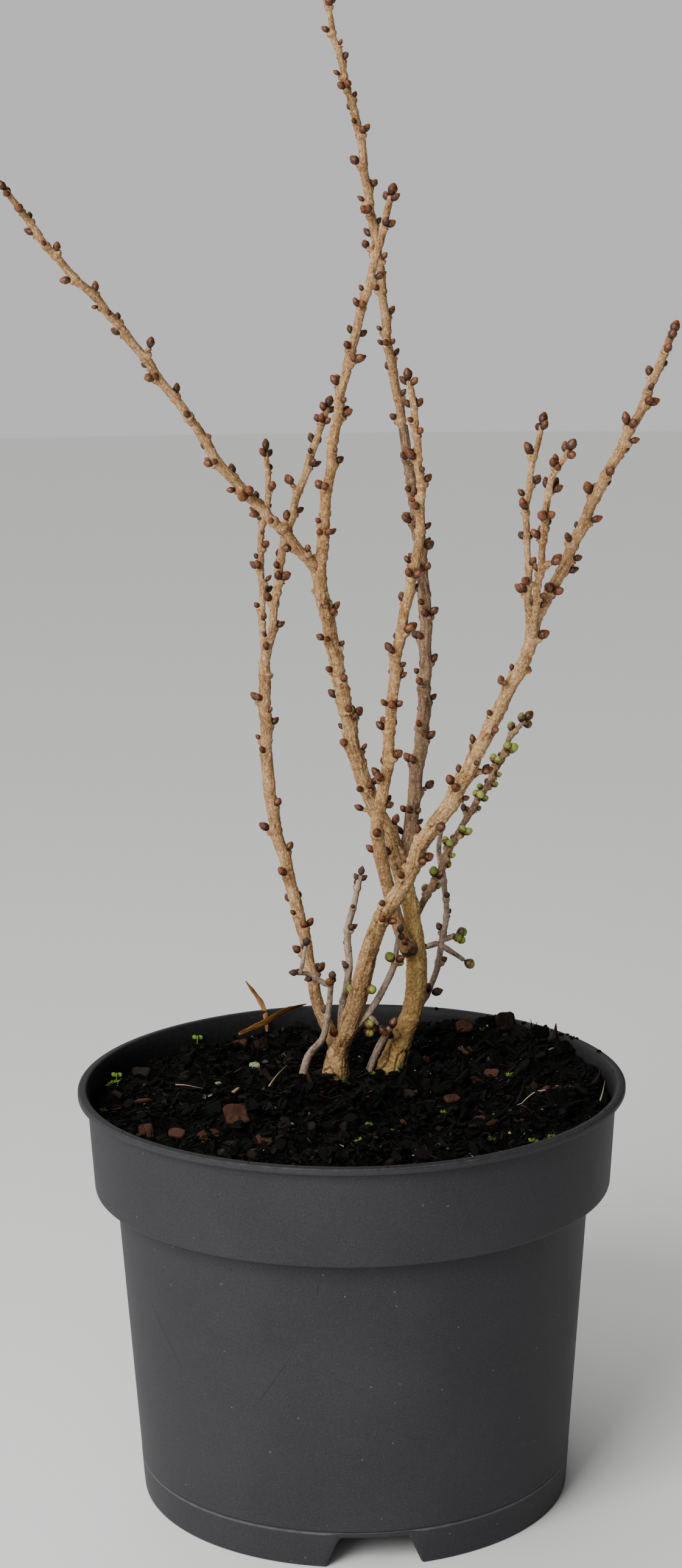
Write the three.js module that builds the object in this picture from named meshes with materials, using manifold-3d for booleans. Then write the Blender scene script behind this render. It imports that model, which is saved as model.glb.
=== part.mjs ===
// A bare kojo-no-mai Fuji cherry in its plastic nursery pot, in late winter.
// Millimetres, +Z up. The origin lies on the pot's axis, at the floor. -Y is the front.
import * as THREE from "three";
import { mergeVertices } from "three/addons/utils/BufferGeometryUtils.js";
import Module from "manifold-3d";

// Driving dimensions
const GAP = 0.3; // clearance between pieces that touch
const POT_HEIGHT = 147;
const RIM_RADIUS = 95; // outside of the rolled lip
const RIM_TALL = 3;
const COLLAR_TOP_RADIUS = 91.9; // outside of the deep collar, just under the lip
const COLLAR_LOW_RADIUS = 89.8;
const COLLAR_TALL = 35.5;
const WALL_TOP_RADIUS = 82.3; // outside of the tapering wall, just under the collar
const WALL_LOW_RADIUS = 76;
const WALL_THICK = 1.8;
const FOOT_TALL = 13.2; // ring that the pot stands on
const FOOT_RADIUS = 75.1;
const FOOT_THICK = 2.6;
const FOOT_GROOVE = 0.4;
const BASE_UNDER = 10.9; // height of the raised base plate's underside
const BASE_THICK = 1.8;
const NOTCH_COUNT = 3;
const NOTCH_TURN = 4.6; // degrees that the front notch sits right of the front
const NOTCH_TOP_WIDE = 23.6;
const NOTCH_FOOT_WIDE = 33;
const NOTCH_TALL = 10.8;
const SOIL_LEVEL = 138;
const SOIL_RINGS = [76, 52, 30, 12];
const PAD_EXTRA = 2.8; // how far the flat pad under a stem reaches past it
const PAD_SLACK = 0.4; // how much narrower the clear space over a pad is than the pad
const CHIP_COUNT = 7;
const CHIP_ROOM = 17; // distance that a strewn chip keeps from a stem's foot
const TURNED_SIDES = 44; // faces round the pot and the compost
const FLARE_TALL = 4; // height over which a trunk's root flare dies out
const FLARE_LOBES = 5; // roots that show as swellings round a trunk's foot
const TWIG_RADIUS = 1.8; // a limb thinner than this bends fully at its nodes, a thicker one half
const SLIVER = 0.03; // detail smaller than this is smoothed away after the cuts

// Buds
const BUD_LONG = 3.7;
const BUD_RADIUS = 1.45;
const BUD_SIDES = 4;
const BUD_ROOT = 0.9; // where a bud stands, as a share of its twig's radius
const BUD_LEAN = 46; // degrees between a bud and its twig
const BUD_SUNK = 0.3; // share of its length that a bud's root goes down into the twig
const BUD_WAIST = 0.2; // share of its length at which a bud is widest
const TIP_BUD = 1.1; // size of the bud that ends a twig, against one along it
const CROWD_BUD = 0.95; // size of the buds crowded round it
const CROWD_DROP = 1.6; // how far below the tip those stand
const PAIR_SHARE = 0.12; // share of the nodes with two buds
const BUD_TURN = 144; // degrees round the twig from one node to the next
const NODE_SPACING = 8.9;
const SPREAD = 0.3; // how much bud sizes and spacings vary, about their mean
const BARE_END = 3; // length at a twig's end with no bud along it
const SPUR_SHARE = 0.07; // share of the nodes whose buds stand on a short spur
const SPUR_RADIUS = 0.95;
const SPUR_RISE = 1; // how far a spur's end lies up the twig from its foot
const SPUR_OUT = 2.1; // how far it stands out
const PAIR_SPREAD = 56; // degrees round the twig between the buds of a pair
const STATION_SPACING = 11; // furthest that two rings of a limb's faces stand apart
const ZIGZAG = 0.35; // how far a young twig bends out at each node
const BEND_BELOW = 2.7; // how far below its bud a twig bends
const ROOM = 0.9; // free space that a bud keeps from any other limb

// A course is the limb's centre line as its foot, its bends and its tip: x, y, z and the radius there.
// The foot of a limb that grows from another lies inside that one, and is cut clear of it. Other feet
// lie a little way down in the compost, and are cut flat just above it.
// firstBud is how far up the limb its buds begin, and tipBuds is how many crowd its end.
const LIMBS = [
  {
    name: "trunk_front", seed: 1, sides: 10, colour: "bark_old", flare: 1.15,
    course: [[-5.8, 32.2, SOIL_LEVEL - 3, 4.7], [-5, 31.5, 144, 4.4], [-4, 30.5, 151, 4.1]],
  },
  {
    name: "trunk_back", seed: 2, sides: 10, colour: "bark_old", flare: 1.15,
    course: [
      [13.4, 41, SOIL_LEVEL - 3, 4.9], [18.3, 41, 149, 4.1], [22.5, 41, 160, 3.7],
      [24, 41, 173, 3.9], [23.5, 40, 185, 3.5], [22, 39, 197, 2.9], [18.5, 38, 213.5, 3.4],
    ],
    shoots: [{ name: "pruned_stub", course: [[24, 39.5, 179.5, 1.6], [23.6, 34.6, 180.5, 1.5]] }],
  },
  {
    name: "bough_right", seed: 3, sides: 7, colour: "bark_old", from: ["trunk_front"], firstBud: 62,
    course: [
      [-4.5, 30, 147.5, 3.7], [0.5, 26, 161.5, 3.6], [10, 10, 199.5, 3], [20, 3, 217.5, 2.7],
      [24.5, -2, 230.5, 2.8], [34.5, -9, 247, 2.8], [44, -18, 267.5, 2.5], [50.5, -25, 282.5, 2.3],
      [58.5, -34, 301, 2.2],
    ],
  },
  {
    name: "bough_left", seed: 4, sides: 7, colour: "bark_young", firstBud: 30,
    from: ["trunk_front", "bough_right"],
    course: [
      [-4, 31, 147.5, 2.6], [-11.5, 33, 164.5, 2.2], [-16, 38, 187.5, 2.2], [-22, 44, 211.5, 2.2],
      [-27, 48, 231.5, 2.2], [-29, 53, 256.5, 2.2], [-29.5, 58, 285, 2.1],
    ],
  },
  {
    name: "bough_front", seed: 5, sides: 7, colour: "bark_pale", from: ["trunk_back"], firstBud: 44,
    course: [
      [22, 39.5, 182, 2.6], [17.5, 33, 193.5, 2.4], [10.5, 21, 226.5, 2.3], [10, 18, 236, 2.3],
      [13, 15, 249.5, 2], [16.5, 8, 291, 1.9], [25, 4, 335.5, 1.6],
    ],
  },
  {
    name: "bough_middle", seed: 6, sides: 7, colour: "bark_old", from: ["trunk_back"], firstBud: 8,
    course: [
      [18.5, 38, 212, 2.8], [15, 37, 225, 2.8], [8, 35, 239.5, 2.8], [3, 32, 254.5, 2.8],
      [-0.5, 28, 273, 2.6], [-9.5, 12, 323, 2.4],
    ],
  },
  {
    name: "leader", seed: 7, sides: 7, colour: "bark_grey", from: ["trunk_back", "bough_middle"],
    firstBud: 6,
    course: [
      [18.5, 38.5, 211, 2.7], [21.5, 40, 224.5, 2.5], [24, 42, 242.5, 2.5], [27, 45, 266, 2.4],
      [28, 48, 305, 2.2], [26, 48, 327.5, 2], [20.5, 43, 369.5, 1.7],
    ],
  },
  {
    name: "bough_far_left", seed: 8, sides: 6, colour: "bark_young", from: ["bough_middle"], firstBud: 9,
    course: [[-7.5, 14, 320, 1.9], [-17.5, 7, 334, 1.8], [-41.5, -3, 362, 1.7], [-49.5, -7, 375.5, 1.6]],
  },
  {
    name: "bough_inner", seed: 9, sides: 6, colour: "bark_pale", firstBud: 9,
    from: ["bough_middle", "bough_far_left"],
    course: [[-9, 12.5, 320, 2.1], [-7.5, 11, 336, 2], [-6.5, 10, 347.5, 1.8], [-3, 7, 373, 1.7]],
  },
  {
    name: "twigs_left", seed: 10, sides: 5, colour: "bark_young", from: ["bough_left"], firstBud: 5,
    tipBuds: 3,
    course: [[-29.3, 58, 284, 1.7], [-26.5, 60, 296, 1.5], [-22, 65, 325.5, 1.5], [-6, 73, 373.5, 1.2]],
    shoots: [
      {
        name: "side", firstBud: 12, tipBuds: 3,
        course: [
          [-29, 58.3, 287.5, 1.3], [-30, 62, 297, 1.2], [-30, 67, 316, 1.2], [-30.5, 69, 325.5, 1.1],
          [-27.5, 73, 343, 1.1], [-28, 76, 357.5, 1],
        ],
      },
    ],
  },
  {
    name: "twigs_right", seed: 11, sides: 5, colour: "bark_young", from: ["bough_right"], firstBud: 9,
    tipBuds: 3,
    course: [
      [58, -33.6, 300, 2.1], [63, -38, 317.2, 1.9], [71, -43, 334, 1.9], [82, -46, 359.5, 1.7],
      [93, -45, 380, 1.5], [104, -42, 405.5, 1.2],
    ],
    shoots: [
      {
        name: "back", firstBud: 10, tipBuds: 3,
        course: [[59.2, -34.6, 304, 1.3], [59.5, -30, 319.5, 1.2], [60, -18, 352, 1.1], [65, -10, 374, 0.9]],
      },
      {
        name: "front", firstBud: 14, tipBuds: 3,
        course: [[60, -36, 307, 1.3], [62, -52, 333, 1.2], [64, -66, 361, 1.1], [69, -73, 372, 0.9]],
      },
    ],
  },
  {
    name: "twigs_front", seed: 12, sides: 5, colour: "bark_pale", from: ["bough_front"], firstBud: 4,
    tipBuds: 3,
    course: [[24.9, 4.1, 334.5, 1.6], [25.5, 2, 346, 1.5], [22.5, -6, 384, 1.1], [21.5, -8, 389, 1]],
  },
  {
    name: "twigs_top", seed: 13, sides: 5, colour: "bark_young", from: ["leader"], firstBud: 4, tipBuds: 3,
    course: [
      [20.6, 43.1, 368.5, 1.6], [15.3, 39, 399.5, 1.6], [13.5, 36, 418, 1.5], [8.5, 32, 452, 1.5],
      [6, 30, 470, 1.4], [2.5, 28, 483, 1.2], [-6, 25, 517.5, 0.9],
    ],
  },
  {
    name: "twigs_far_left", seed: 14, sides: 5, colour: "bark_young", from: ["bough_far_left"],
    firstBud: 5, tipBuds: 3,
    course: [
      [-49.2, -6.8, 374.8, 1.6], [-59.5, -12, 390, 1.5], [-80.5, -20, 418.5, 1.4],
      [-90.5, -24, 429, 1.3], [-106.5, -31, 452, 1],
    ],
  },
  {
    name: "twigs_inner", seed: 15, sides: 5, colour: "bark_young", from: ["bough_inner"], firstBud: 5,
    tipBuds: 3,
    course: [[-3.1, 7.1, 372, 1.7], [-0.7, 5, 385.5, 1.6], [10, 2, 425.5, 1.4], [16, 4, 448.5, 1.1]],
  },
  {
    name: "twigs_green", seed: 16, sides: 5, colour: "bark_grey", from: ["trunk_back"], firstBud: 14,
    tipBuds: 3, spacing: 0.75,
    course: [
      [22.3, 39.5, 193, 1.4], [28, 48, 200.5, 1.3], [38, 56, 218.5, 1.2], [55, 66, 245, 1.1],
      [59, 69, 253.5, 1], [64.5, 72, 259.5, 0.9],
    ],
  },
  {
    name: "twigs_grey", seed: 17, sides: 5, colour: "bark_grey", from: ["trunk_back"], firstBud: 11,
    tipBuds: 2, spacing: 1.3,
    course: [
      [22.5, 41, 158.5, 1.3], [28.5, 50, 164, 1.2], [35, 58, 188, 1.1], [35, 61, 201, 1.1],
      [33, 66, 213, 1], [34, 68, 221, 0.9],
    ],
    shoots: [
      { name: "low", firstBud: 5, tipBuds: 2, course: [[33.3, 55.8, 180, 1], [41.5, 57, 174, 0.8]] },
      { name: "right", firstBud: 9, tipBuds: 3, course: [[33.6, 56.2, 181.5, 1], [38.5, 58, 183, 0.9]] },
      { name: "left", firstBud: 9, tipBuds: 2, course: [[33.2, 56, 181, 1], [27.5, 58, 178.5, 0.9]] },
    ],
  },
  {
    name: "twigs_between", seed: 18, sides: 5, colour: "bark_grey", from: ["bough_right"], firstBud: 30,
    tipBuds: 2,
    course: [[1.5, 26, 158, 1.3], [6.5, 25, 163.5, 1.3], [14.5, 23, 179, 1.2], [17.5, 21, 193.5, 0.9]],
    shoots: [{ name: "low", firstBud: 9, tipBuds: 2, course: [[6.3, 25, 163, 0.9], [9.5, 24, 159.5, 0.8]] }],
  },
  {
    name: "shoot_thin", seed: 19, sides: 5, colour: "bark_grey", firstBud: 18, tipBuds: 3, spacing: 1.6,
    from: ["trunk_front", "bough_right", "bough_left"],
    course: [
      [-3.2, 30.8, 149, 1.4], [-3, 31.5, 164, 1.4], [0, 31.5, 178, 1.3], [-1, 31, 191.5, 1.3],
      [1.5, 31, 200.5, 1.1], [4, 31, 212, 1.1],
    ],
  },
  {
    name: "shoot_low_left", seed: 20, sides: 5, colour: "bark_grey", firstBud: 34, tipBuds: 3, spacing: 1.5,
    course: [
      [-18, 35, SOIL_LEVEL - 2, 1.5], [-15, 30, 146.5, 1.4], [-9.5, 24, 155.5, 1.2],
      [-6.5, 19, 177.5, 1],
    ],
    shoots: [
      {
        name: "side", firstBud: 8, tipBuds: 2,
        course: [[-6.8, 19.2, 175, 0.9], [-14, 16, 180.5, 0.85], [-18, 14, 181.5, 0.85]],
      },
      { name: "end", firstBud: 20, tipBuds: 2, course: [[-17.3, 14.1, 181.3, 0.75], [-15.5, 14, 191, 0.65]] },
    ],
  },
  {
    name: "shoot_low_right", seed: 21, sides: 5, colour: "bark_grey", firstBud: 30, tipBuds: 1,
    course: [[5.6, 39.2, SOIL_LEVEL - 2, 1.5], [10, 33, 148, 1.4], [14, 30, 156, 1.3]],
  },
];

const COLOURS = {
  pot: { color: 0x4a4b4e, roughness: 0.55, metalness: 0 },
  soil: { color: 0x1b1410, roughness: 0.95, metalness: 0 },
  bark_old: { color: 0x9a7a50, roughness: 0.85, metalness: 0 },
  bark_young: { color: 0xb0906a, roughness: 0.8, metalness: 0 },
  bark_pale: { color: 0xb79a72, roughness: 0.8, metalness: 0 },
  bark_grey: { color: 0x94836f, roughness: 0.8, metalness: 0 },
};

const degrees = THREE.MathUtils.degToRad;
const wasm = await Module();
wasm.setup();

// A repeatable number from 0 to 1 for the whole or broken number k.
function noise(k) {
  const wave = Math.sin(k * 12.9898) * 43758.5453;
  return wave - Math.floor(wave);
}

// A closed three.js geometry as a solid that can be joined and cut.
function solidFrom(geometry) {
  const bare = geometry.clone();
  bare.deleteAttribute("normal");
  bare.deleteAttribute("uv");
  const merged = mergeVertices(bare, 1e-4);
  return new wasm.Manifold(
    new wasm.Mesh({
      numProp: 3,
      vertProperties: new Float32Array(merged.attributes.position.array),
      triVerts: new Uint32Array(merged.index.array),
    }),
  );
}

// A solid as a flat-shaded three.js geometry.
function geometryFrom(solid) {
  const mesh = solid.getMesh();
  const geometry = new THREE.BufferGeometry();
  geometry.setAttribute("position", new THREE.BufferAttribute(mesh.vertProperties, 3));
  geometry.setIndex(new THREE.BufferAttribute(mesh.triVerts, 1));
  geometry.computeVertexNormals();
  return geometry;
}

// The solid's largest connected piece, with slivers left by a cut dropped.
function largestPiece(solid) {
  return solid.decompose().reduce((best, piece) => (piece.volume() > best.volume() ? piece : best));
}

// The centre line of a limb with its radius: at(u) takes the share of its length.
function centreLine(course) {
  const points = course.map(([x, y, z]) => new THREE.Vector3(x, y, z));
  const curve = new THREE.CatmullRomCurve3(points, false, "centripetal");
  const radiusAt = (t) => {
    const place = t * (course.length - 1);
    const i = Math.min(Math.floor(place), course.length - 2);
    return THREE.MathUtils.lerp(course[i][3], course[i + 1][3], place - i);
  };
  const at = (u) => {
    const t = curve.getUtoTmapping(u);
    const along = curve.getTangent(t);
    // Side and depth directions square to the limb, worked out from the pot's depth axis.
    const side = new THREE.Vector3(0, 1, 0).cross(along).normalize();
    const depth = new THREE.Vector3().crossVectors(along, side);
    return { place: curve.getPoint(t), along, side, depth, radius: radiusAt(t) };
  };
  return { long: curve.getLength(), at };
}

// A size that varies about 1 by the spread.
const varied = (k) => 1 + SPREAD * (noise(k) - 0.5);

// Where the buds of a limb sit: the share of its length, the turn round it and how many.
function budNodes(line, seed, firstBud, spacing) {
  const nodes = [];
  let reach = firstBud;
  for (let k = 0; reach < line.long - BARE_END; k++) {
    nodes.push({
      u: reach / line.long,
      turn: degrees(seed * 97 + k * BUD_TURN),
      count: noise(seed + k * 1.7) < PAIR_SHARE ? 2 : 1,
      spur: noise(seed * 3 + k * 2.3) < SPUR_SHARE,
      size: varied(seed * 5 + k * 3.1),
    });
    reach += NODE_SPACING * spacing * varied(seed * 7 + k);
  }
  return nodes;
}

// Where a limb's faces turn: at its ends, just below its bud nodes, and between nodes far apart.
function stationsOf(line, nodes) {
  const marks = [0, ...nodes.map((node) => node.u - BEND_BELOW / line.long), 1];
  const longest = STATION_SPACING / line.long;
  return marks.flatMap((mark, i) => {
    if (i === 0) return [mark];
    const before = marks[i - 1];
    const pieces = Math.ceil((mark - before) / longest);
    return Array.from({ length: pieces }, (_, k) => THREE.MathUtils.lerp(before, mark, (k + 1) / pieces));
  });
}

// A limb's body: a closed cylinder bent along its centre line, fattened by extra all over.
function limbBody({ line, nodes, part }, sides, extra) {
  const stations = stationsOf(line, nodes);
  const last = stations.length - 1;
  const body = new THREE.CylinderGeometry(1, 1, 1, sides, last);
  const place = body.attributes.position;
  // A few flat faces lie inside the round that they stand for, so they are set out to its mean.
  const fill = 1 / Math.sqrt(Math.cos(Math.PI / sides));
  for (let v = 0; v < place.count; v++) {
    // The cylinder's faces run from its top ring down, and the limb's from its foot up.
    const ring = last - Math.round((0.5 - place.getY(v)) * last);
    const station = line.at(stations[ring]);
    const turn = Math.atan2(place.getX(v), place.getZ(v));
    const rise = stations[ring] * line.long;
    const lobes = 0.7 + 0.3 * Math.cos(turn * FLARE_LOBES);
    const flare = (part.flare ?? 0) * Math.exp(-rise / FLARE_TALL) * lobes;
    const onAxis = Math.hypot(place.getX(v), place.getZ(v)) < 0.5;
    const radius = onAxis ? 0 : station.radius * fill + flare + extra;
    const spot = station.place.clone();
    const node = nodes.find((each) => Math.abs(each.u - BEND_BELOW / line.long - stations[ring]) < 1e-9);
    const bend = station.radius < TWIG_RADIUS ? ZIGZAG : ZIGZAG / 2;
    if (node) spot.addScaledVector(outward(station, node.turn), bend);
    spot.addScaledVector(station.side, Math.sin(turn) * radius);
    spot.addScaledVector(station.depth, -Math.cos(turn) * radius);
    if (ring === 0) spot.addScaledVector(station.along, -extra);
    if (ring === last) spot.addScaledVector(station.along, extra);
    place.setXYZ(v, spot.x, spot.y, spot.z);
  }
  return solidFrom(body);
}

// The direction square to the limb at the given turn.
function outward(station, turn) {
  return station.side.clone().multiplyScalar(Math.cos(turn)).addScaledVector(station.depth, Math.sin(turn));
}

// One bud: a pointed four-sided body standing on the place given, with its root sunk in.
function bud(place, axis, size) {
  const profile = [
    new THREE.Vector2(0, -BUD_SUNK * BUD_LONG * size),
    new THREE.Vector2(BUD_RADIUS * size, BUD_WAIST * BUD_LONG * size),
    new THREE.Vector2(0, BUD_LONG * size),
  ];
  const shape = new THREE.LatheGeometry(profile, BUD_SIDES);
  const turn = new THREE.Quaternion().setFromUnitVectors(new THREE.Vector3(0, 1, 0), axis);
  shape.applyQuaternion(turn);
  shape.translate(place.x, place.y, place.z);
  return solidFrom(shape);
}

// A short spur that lifts a cluster of buds off its twig.
function spur(from, to) {
  const shape = new THREE.CylinderGeometry(SPUR_RADIUS, SPUR_RADIUS * 1.2, from.distanceTo(to), 5);
  const axis = to.clone().sub(from).normalize();
  shape.applyQuaternion(new THREE.Quaternion().setFromUnitVectors(new THREE.Vector3(0, 1, 0), axis));
  const middle = from.clone().lerp(to, 0.5);
  shape.translate(middle.x, middle.y, middle.z);
  return solidFrom(shape);
}

// Every stem and shoot of the plant with its centre line and its bud nodes.
const axes = LIMBS.flatMap((limb) => [limb, ...(limb.shoots ?? [])].map((part, i) => {
  const line = centreLine(part.course);
  const seed = limb.seed + i * 0.37;
  const nodes = part.firstBud === undefined ? [] : budNodes(line, seed, part.firstBud, limb.spacing ?? 1);
  return { owner: limb.name, part, seed, line, nodes };
}));

// Whether a ball at the place given is free of the soil, of every other limb and of their buds.
const grownBuds = [];
function isFree(owner, place, reach) {
  if (place.z - reach < SOIL_LEVEL + 4) return false;
  const nearBud = grownBuds.some((other) =>
    other.owner !== owner && other.place.distanceTo(place) < other.reach + reach + ROOM);
  return !nearBud && axes.every(({ owner: other, line }) => {
    if (other === owner) return true;
    const steps = Math.ceil(line.long / 3);
    return Array.from({ length: steps + 1 }, (_, i) => line.at(i / steps))
      .every((station) => station.place.distanceTo(place) > station.radius + reach + ROOM);
  });
}

// A direction that leans out from a limb at a station, turned round it.
function leaning(station, turn, lean) {
  const out = outward(station, turn).multiplyScalar(Math.sin(lean));
  return out.addScaledVector(station.along, Math.cos(lean)).normalize();
}

// The buds and spurs of one stem or shoot.
function budSolids({ owner, part, seed, line, nodes }) {
  const grown = [];
  const addBud = (root, direction, size) => {
    const reach = 0.5 * BUD_LONG * size;
    const middle = root.clone().addScaledVector(direction, reach);
    if (!isFree(owner, middle, reach)) return;
    grownBuds.push({ owner, place: middle, reach });
    grown.push(bud(root, direction, size));
  };
  const lean = degrees(BUD_LEAN);
  for (const node of nodes) {
    const station = line.at(node.u);
    const out = outward(station, node.turn);
    let spurEnd;
    if (node.spur) {
      const root = station.place.clone().addScaledVector(out, station.radius * BUD_ROOT);
      spurEnd = root.addScaledVector(out, SPUR_OUT).addScaledVector(station.along, SPUR_RISE);
      if (!isFree(owner, spurEnd, BUD_RADIUS)) continue;
      grown.push(spur(station.place, spurEnd));
    }
    for (let j = 0; j < node.count; j++) {
      const turn = node.turn + (j - (node.count - 1) / 2) * degrees(PAIR_SPREAD);
      const foot = station.place.clone().addScaledVector(outward(station, turn), station.radius * BUD_ROOT);
      addBud(spurEnd ?? foot, leaning(station, turn, lean), node.size);
    }
  }
  const tip = line.at(1);
  const crowd = part.tipBuds ?? 0;
  for (let j = 0; j < crowd; j++) {
    const lateral = j > 0;
    const direction = leaning(tip, seed + (j * 2 * Math.PI) / Math.max(crowd - 1, 1), lateral ? lean : 0);
    const root = tip.place.clone().addScaledVector(tip.along, lateral ? -CROWD_DROP : 0);
    addBud(root.addScaledVector(direction, 0.4), direction, lateral ? CROWD_BUD : TIP_BUD);
  }
  return grown;
}

// The fattened bodies that later limbs are cut clear of.
const bodies = new Map();

// A limb with its shoots and buds, cut clear of the limbs that it grows from and flat at the soil.
function growLimb(limb) {
  const own = axes.filter((axis) => axis.owner === limb.name);
  const parts = own.flatMap((axis) => [
    limbBody(axis, axis.part === limb ? limb.sides : 4, 0),
    ...budSolids(axis),
  ]);
  let solid = wasm.Manifold.union(parts);
  for (const parent of limb.from ?? []) solid = solid.subtract(bodies.get(parent));
  if (!limb.from) {
    const [x, y, foot] = limb.course[0];
    solid = solid.subtract(disc(x, y, foot - 12, SOIL_LEVEL + GAP, 20));
  }
  bodies.set(limb.name, limbBody(own[0], limb.sides, GAP));
  return largestPiece(solid).simplify(SLIVER);
}

// The pot: one turned wall with a rolled lip, a deep collar and a raised base plate.
const wallInside = WALL_TOP_RADIUS - WALL_THICK;
const collarFoot = POT_HEIGHT - COLLAR_TALL;
const floorTop = BASE_UNDER + BASE_THICK;
function insideRadius(z) {
  if (z > collarFoot + WALL_THICK) {
    const share = (z - collarFoot) / COLLAR_TALL;
    return THREE.MathUtils.lerp(COLLAR_LOW_RADIUS, COLLAR_TOP_RADIUS, share) - WALL_THICK;
  }
  const share = (z - FOOT_TALL) / (collarFoot - FOOT_TALL);
  return THREE.MathUtils.lerp(WALL_LOW_RADIUS, WALL_TOP_RADIUS, share) - WALL_THICK;
}

function pot() {
  const ledge = collarFoot + WALL_THICK + 0.2;
  const outline = [
    [0, floorTop],
    [0, BASE_UNDER],
    [FOOT_RADIUS - FOOT_THICK, BASE_UNDER],
    [FOOT_RADIUS - FOOT_THICK, 0],
    [FOOT_RADIUS - 0.6, 0],
    [FOOT_RADIUS, 0.9],
    [WALL_LOW_RADIUS, FOOT_TALL - 0.5],
    [WALL_LOW_RADIUS - FOOT_GROOVE, FOOT_TALL - 0.1],
    [WALL_LOW_RADIUS + 0.1, FOOT_TALL + 0.4],
    [WALL_TOP_RADIUS, collarFoot - 2.4],
    [WALL_TOP_RADIUS + 1.2, collarFoot - 0.6],
    [COLLAR_LOW_RADIUS - 1.2, collarFoot],
    [COLLAR_LOW_RADIUS, collarFoot + 1.2],
    [COLLAR_TOP_RADIUS, POT_HEIGHT - RIM_TALL - 0.3],
    [RIM_RADIUS - 0.3, POT_HEIGHT - RIM_TALL],
    [RIM_RADIUS, POT_HEIGHT - 0.9],
    [RIM_RADIUS - 1, POT_HEIGHT],
    [COLLAR_TOP_RADIUS - 0.4, POT_HEIGHT],
    [COLLAR_TOP_RADIUS - 1.7, POT_HEIGHT - 1.6],
    [insideRadius(ledge), ledge],
    [wallInside - 0.4, collarFoot - 0.6],
    [insideRadius(floorTop), floorTop],
    [0, floorTop],
  ].map(([r, z]) => new THREE.Vector2(r, z));
  const shape = new THREE.LatheGeometry(outline, TURNED_SIDES).rotateX(Math.PI / 2);
  const whole = solidFrom(shape);
  return footNotches().reduce((left, notch) => left.subtract(notch), whole);
}

// The trapezoid gaps in the foot ring, evenly spaced.
function footNotches() {
  const half = NOTCH_TOP_WIDE / 2;
  const footHalf = NOTCH_FOOT_WIDE / 2;
  const steep = (footHalf - half) / NOTCH_TALL;
  const section = new THREE.Shape([
    new THREE.Vector2(-footHalf - steep, -1),
    new THREE.Vector2(footHalf + steep, -1),
    new THREE.Vector2(half, NOTCH_TALL),
    new THREE.Vector2(-half, NOTCH_TALL),
  ]);
  const reach = FOOT_THICK + 6;
  return Array.from({ length: NOTCH_COUNT }, (_, i) => {
    const block = new THREE.ExtrudeGeometry(section, { depth: reach, bevelEnabled: false, steps: 1 });
    block.translate(0, 0, FOOT_RADIUS - FOOT_THICK - 2);
    block.rotateX(Math.PI / 2);
    block.rotateZ(degrees(NOTCH_TURN + (i * 360) / NOTCH_COUNT));
    return solidFrom(block);
  });
}

// How far the compost's top stands over its mean level at x, y.
function soilBump(x, y) {
  return 1.2 * Math.sin(x / 11 + 1) * Math.cos(y / 9) + 0.8 * Math.sin(x / 5.3 - y / 7.1);
}

// The compost that fills the pot, with a flat pad under each stem and bark chips on top.
function pottingSoil() {
  const foot = floorTop + GAP;
  const ledge = collarFoot + WALL_THICK + 1;
  const shoulder = SOIL_LEVEL - 4;
  const profile = [
    [0, foot],
    [insideRadius(foot) - GAP, foot],
    [wallInside - 1.4, collarFoot - 0.2],
    [insideRadius(ledge) - GAP - 0.2, ledge + 0.4],
    [insideRadius(shoulder) - GAP, shoulder],
    [insideRadius(shoulder) - GAP, SOIL_LEVEL],
    ...SOIL_RINGS.map((radius) => [radius, SOIL_LEVEL]),
    [0, SOIL_LEVEL],
  ].map(([r, z]) => new THREE.Vector2(r, z));
  const shape = new THREE.LatheGeometry(profile, TURNED_SIDES).rotateX(Math.PI / 2);
  const place = shape.attributes.position;
  for (let v = 0; v < place.count; v++) {
    const [x, y, z] = [place.getX(v), place.getY(v), place.getZ(v)];
    if (z > shoulder + 1) place.setZ(v, z + soilBump(x, y));
  }
  let soil = solidFrom(shape);
  for (const chip of barkChips()) soil = soil.add(chip);
  for (const limb of LIMBS.filter((each) => !each.from)) {
    const [x, y, , radius] = limb.course[0];
    const wide = radius + (limb.flare ?? 0) + PAD_EXTRA;
    soil = soil.add(disc(x, y, SOIL_LEVEL - 5, SOIL_LEVEL, wide));
    soil = soil.subtract(disc(x, y, SOIL_LEVEL, SOIL_LEVEL + 9, wide - PAD_SLACK));
  }
  return largestPiece(soil).simplify(SLIVER);
}

// An upright disc between two heights.
function disc(x, y, low, high, radius) {
  const shape = new THREE.CylinderGeometry(radius, radius, high - low, 12).rotateX(Math.PI / 2);
  shape.translate(x, y, (low + high) / 2);
  return solidFrom(shape);
}

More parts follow.
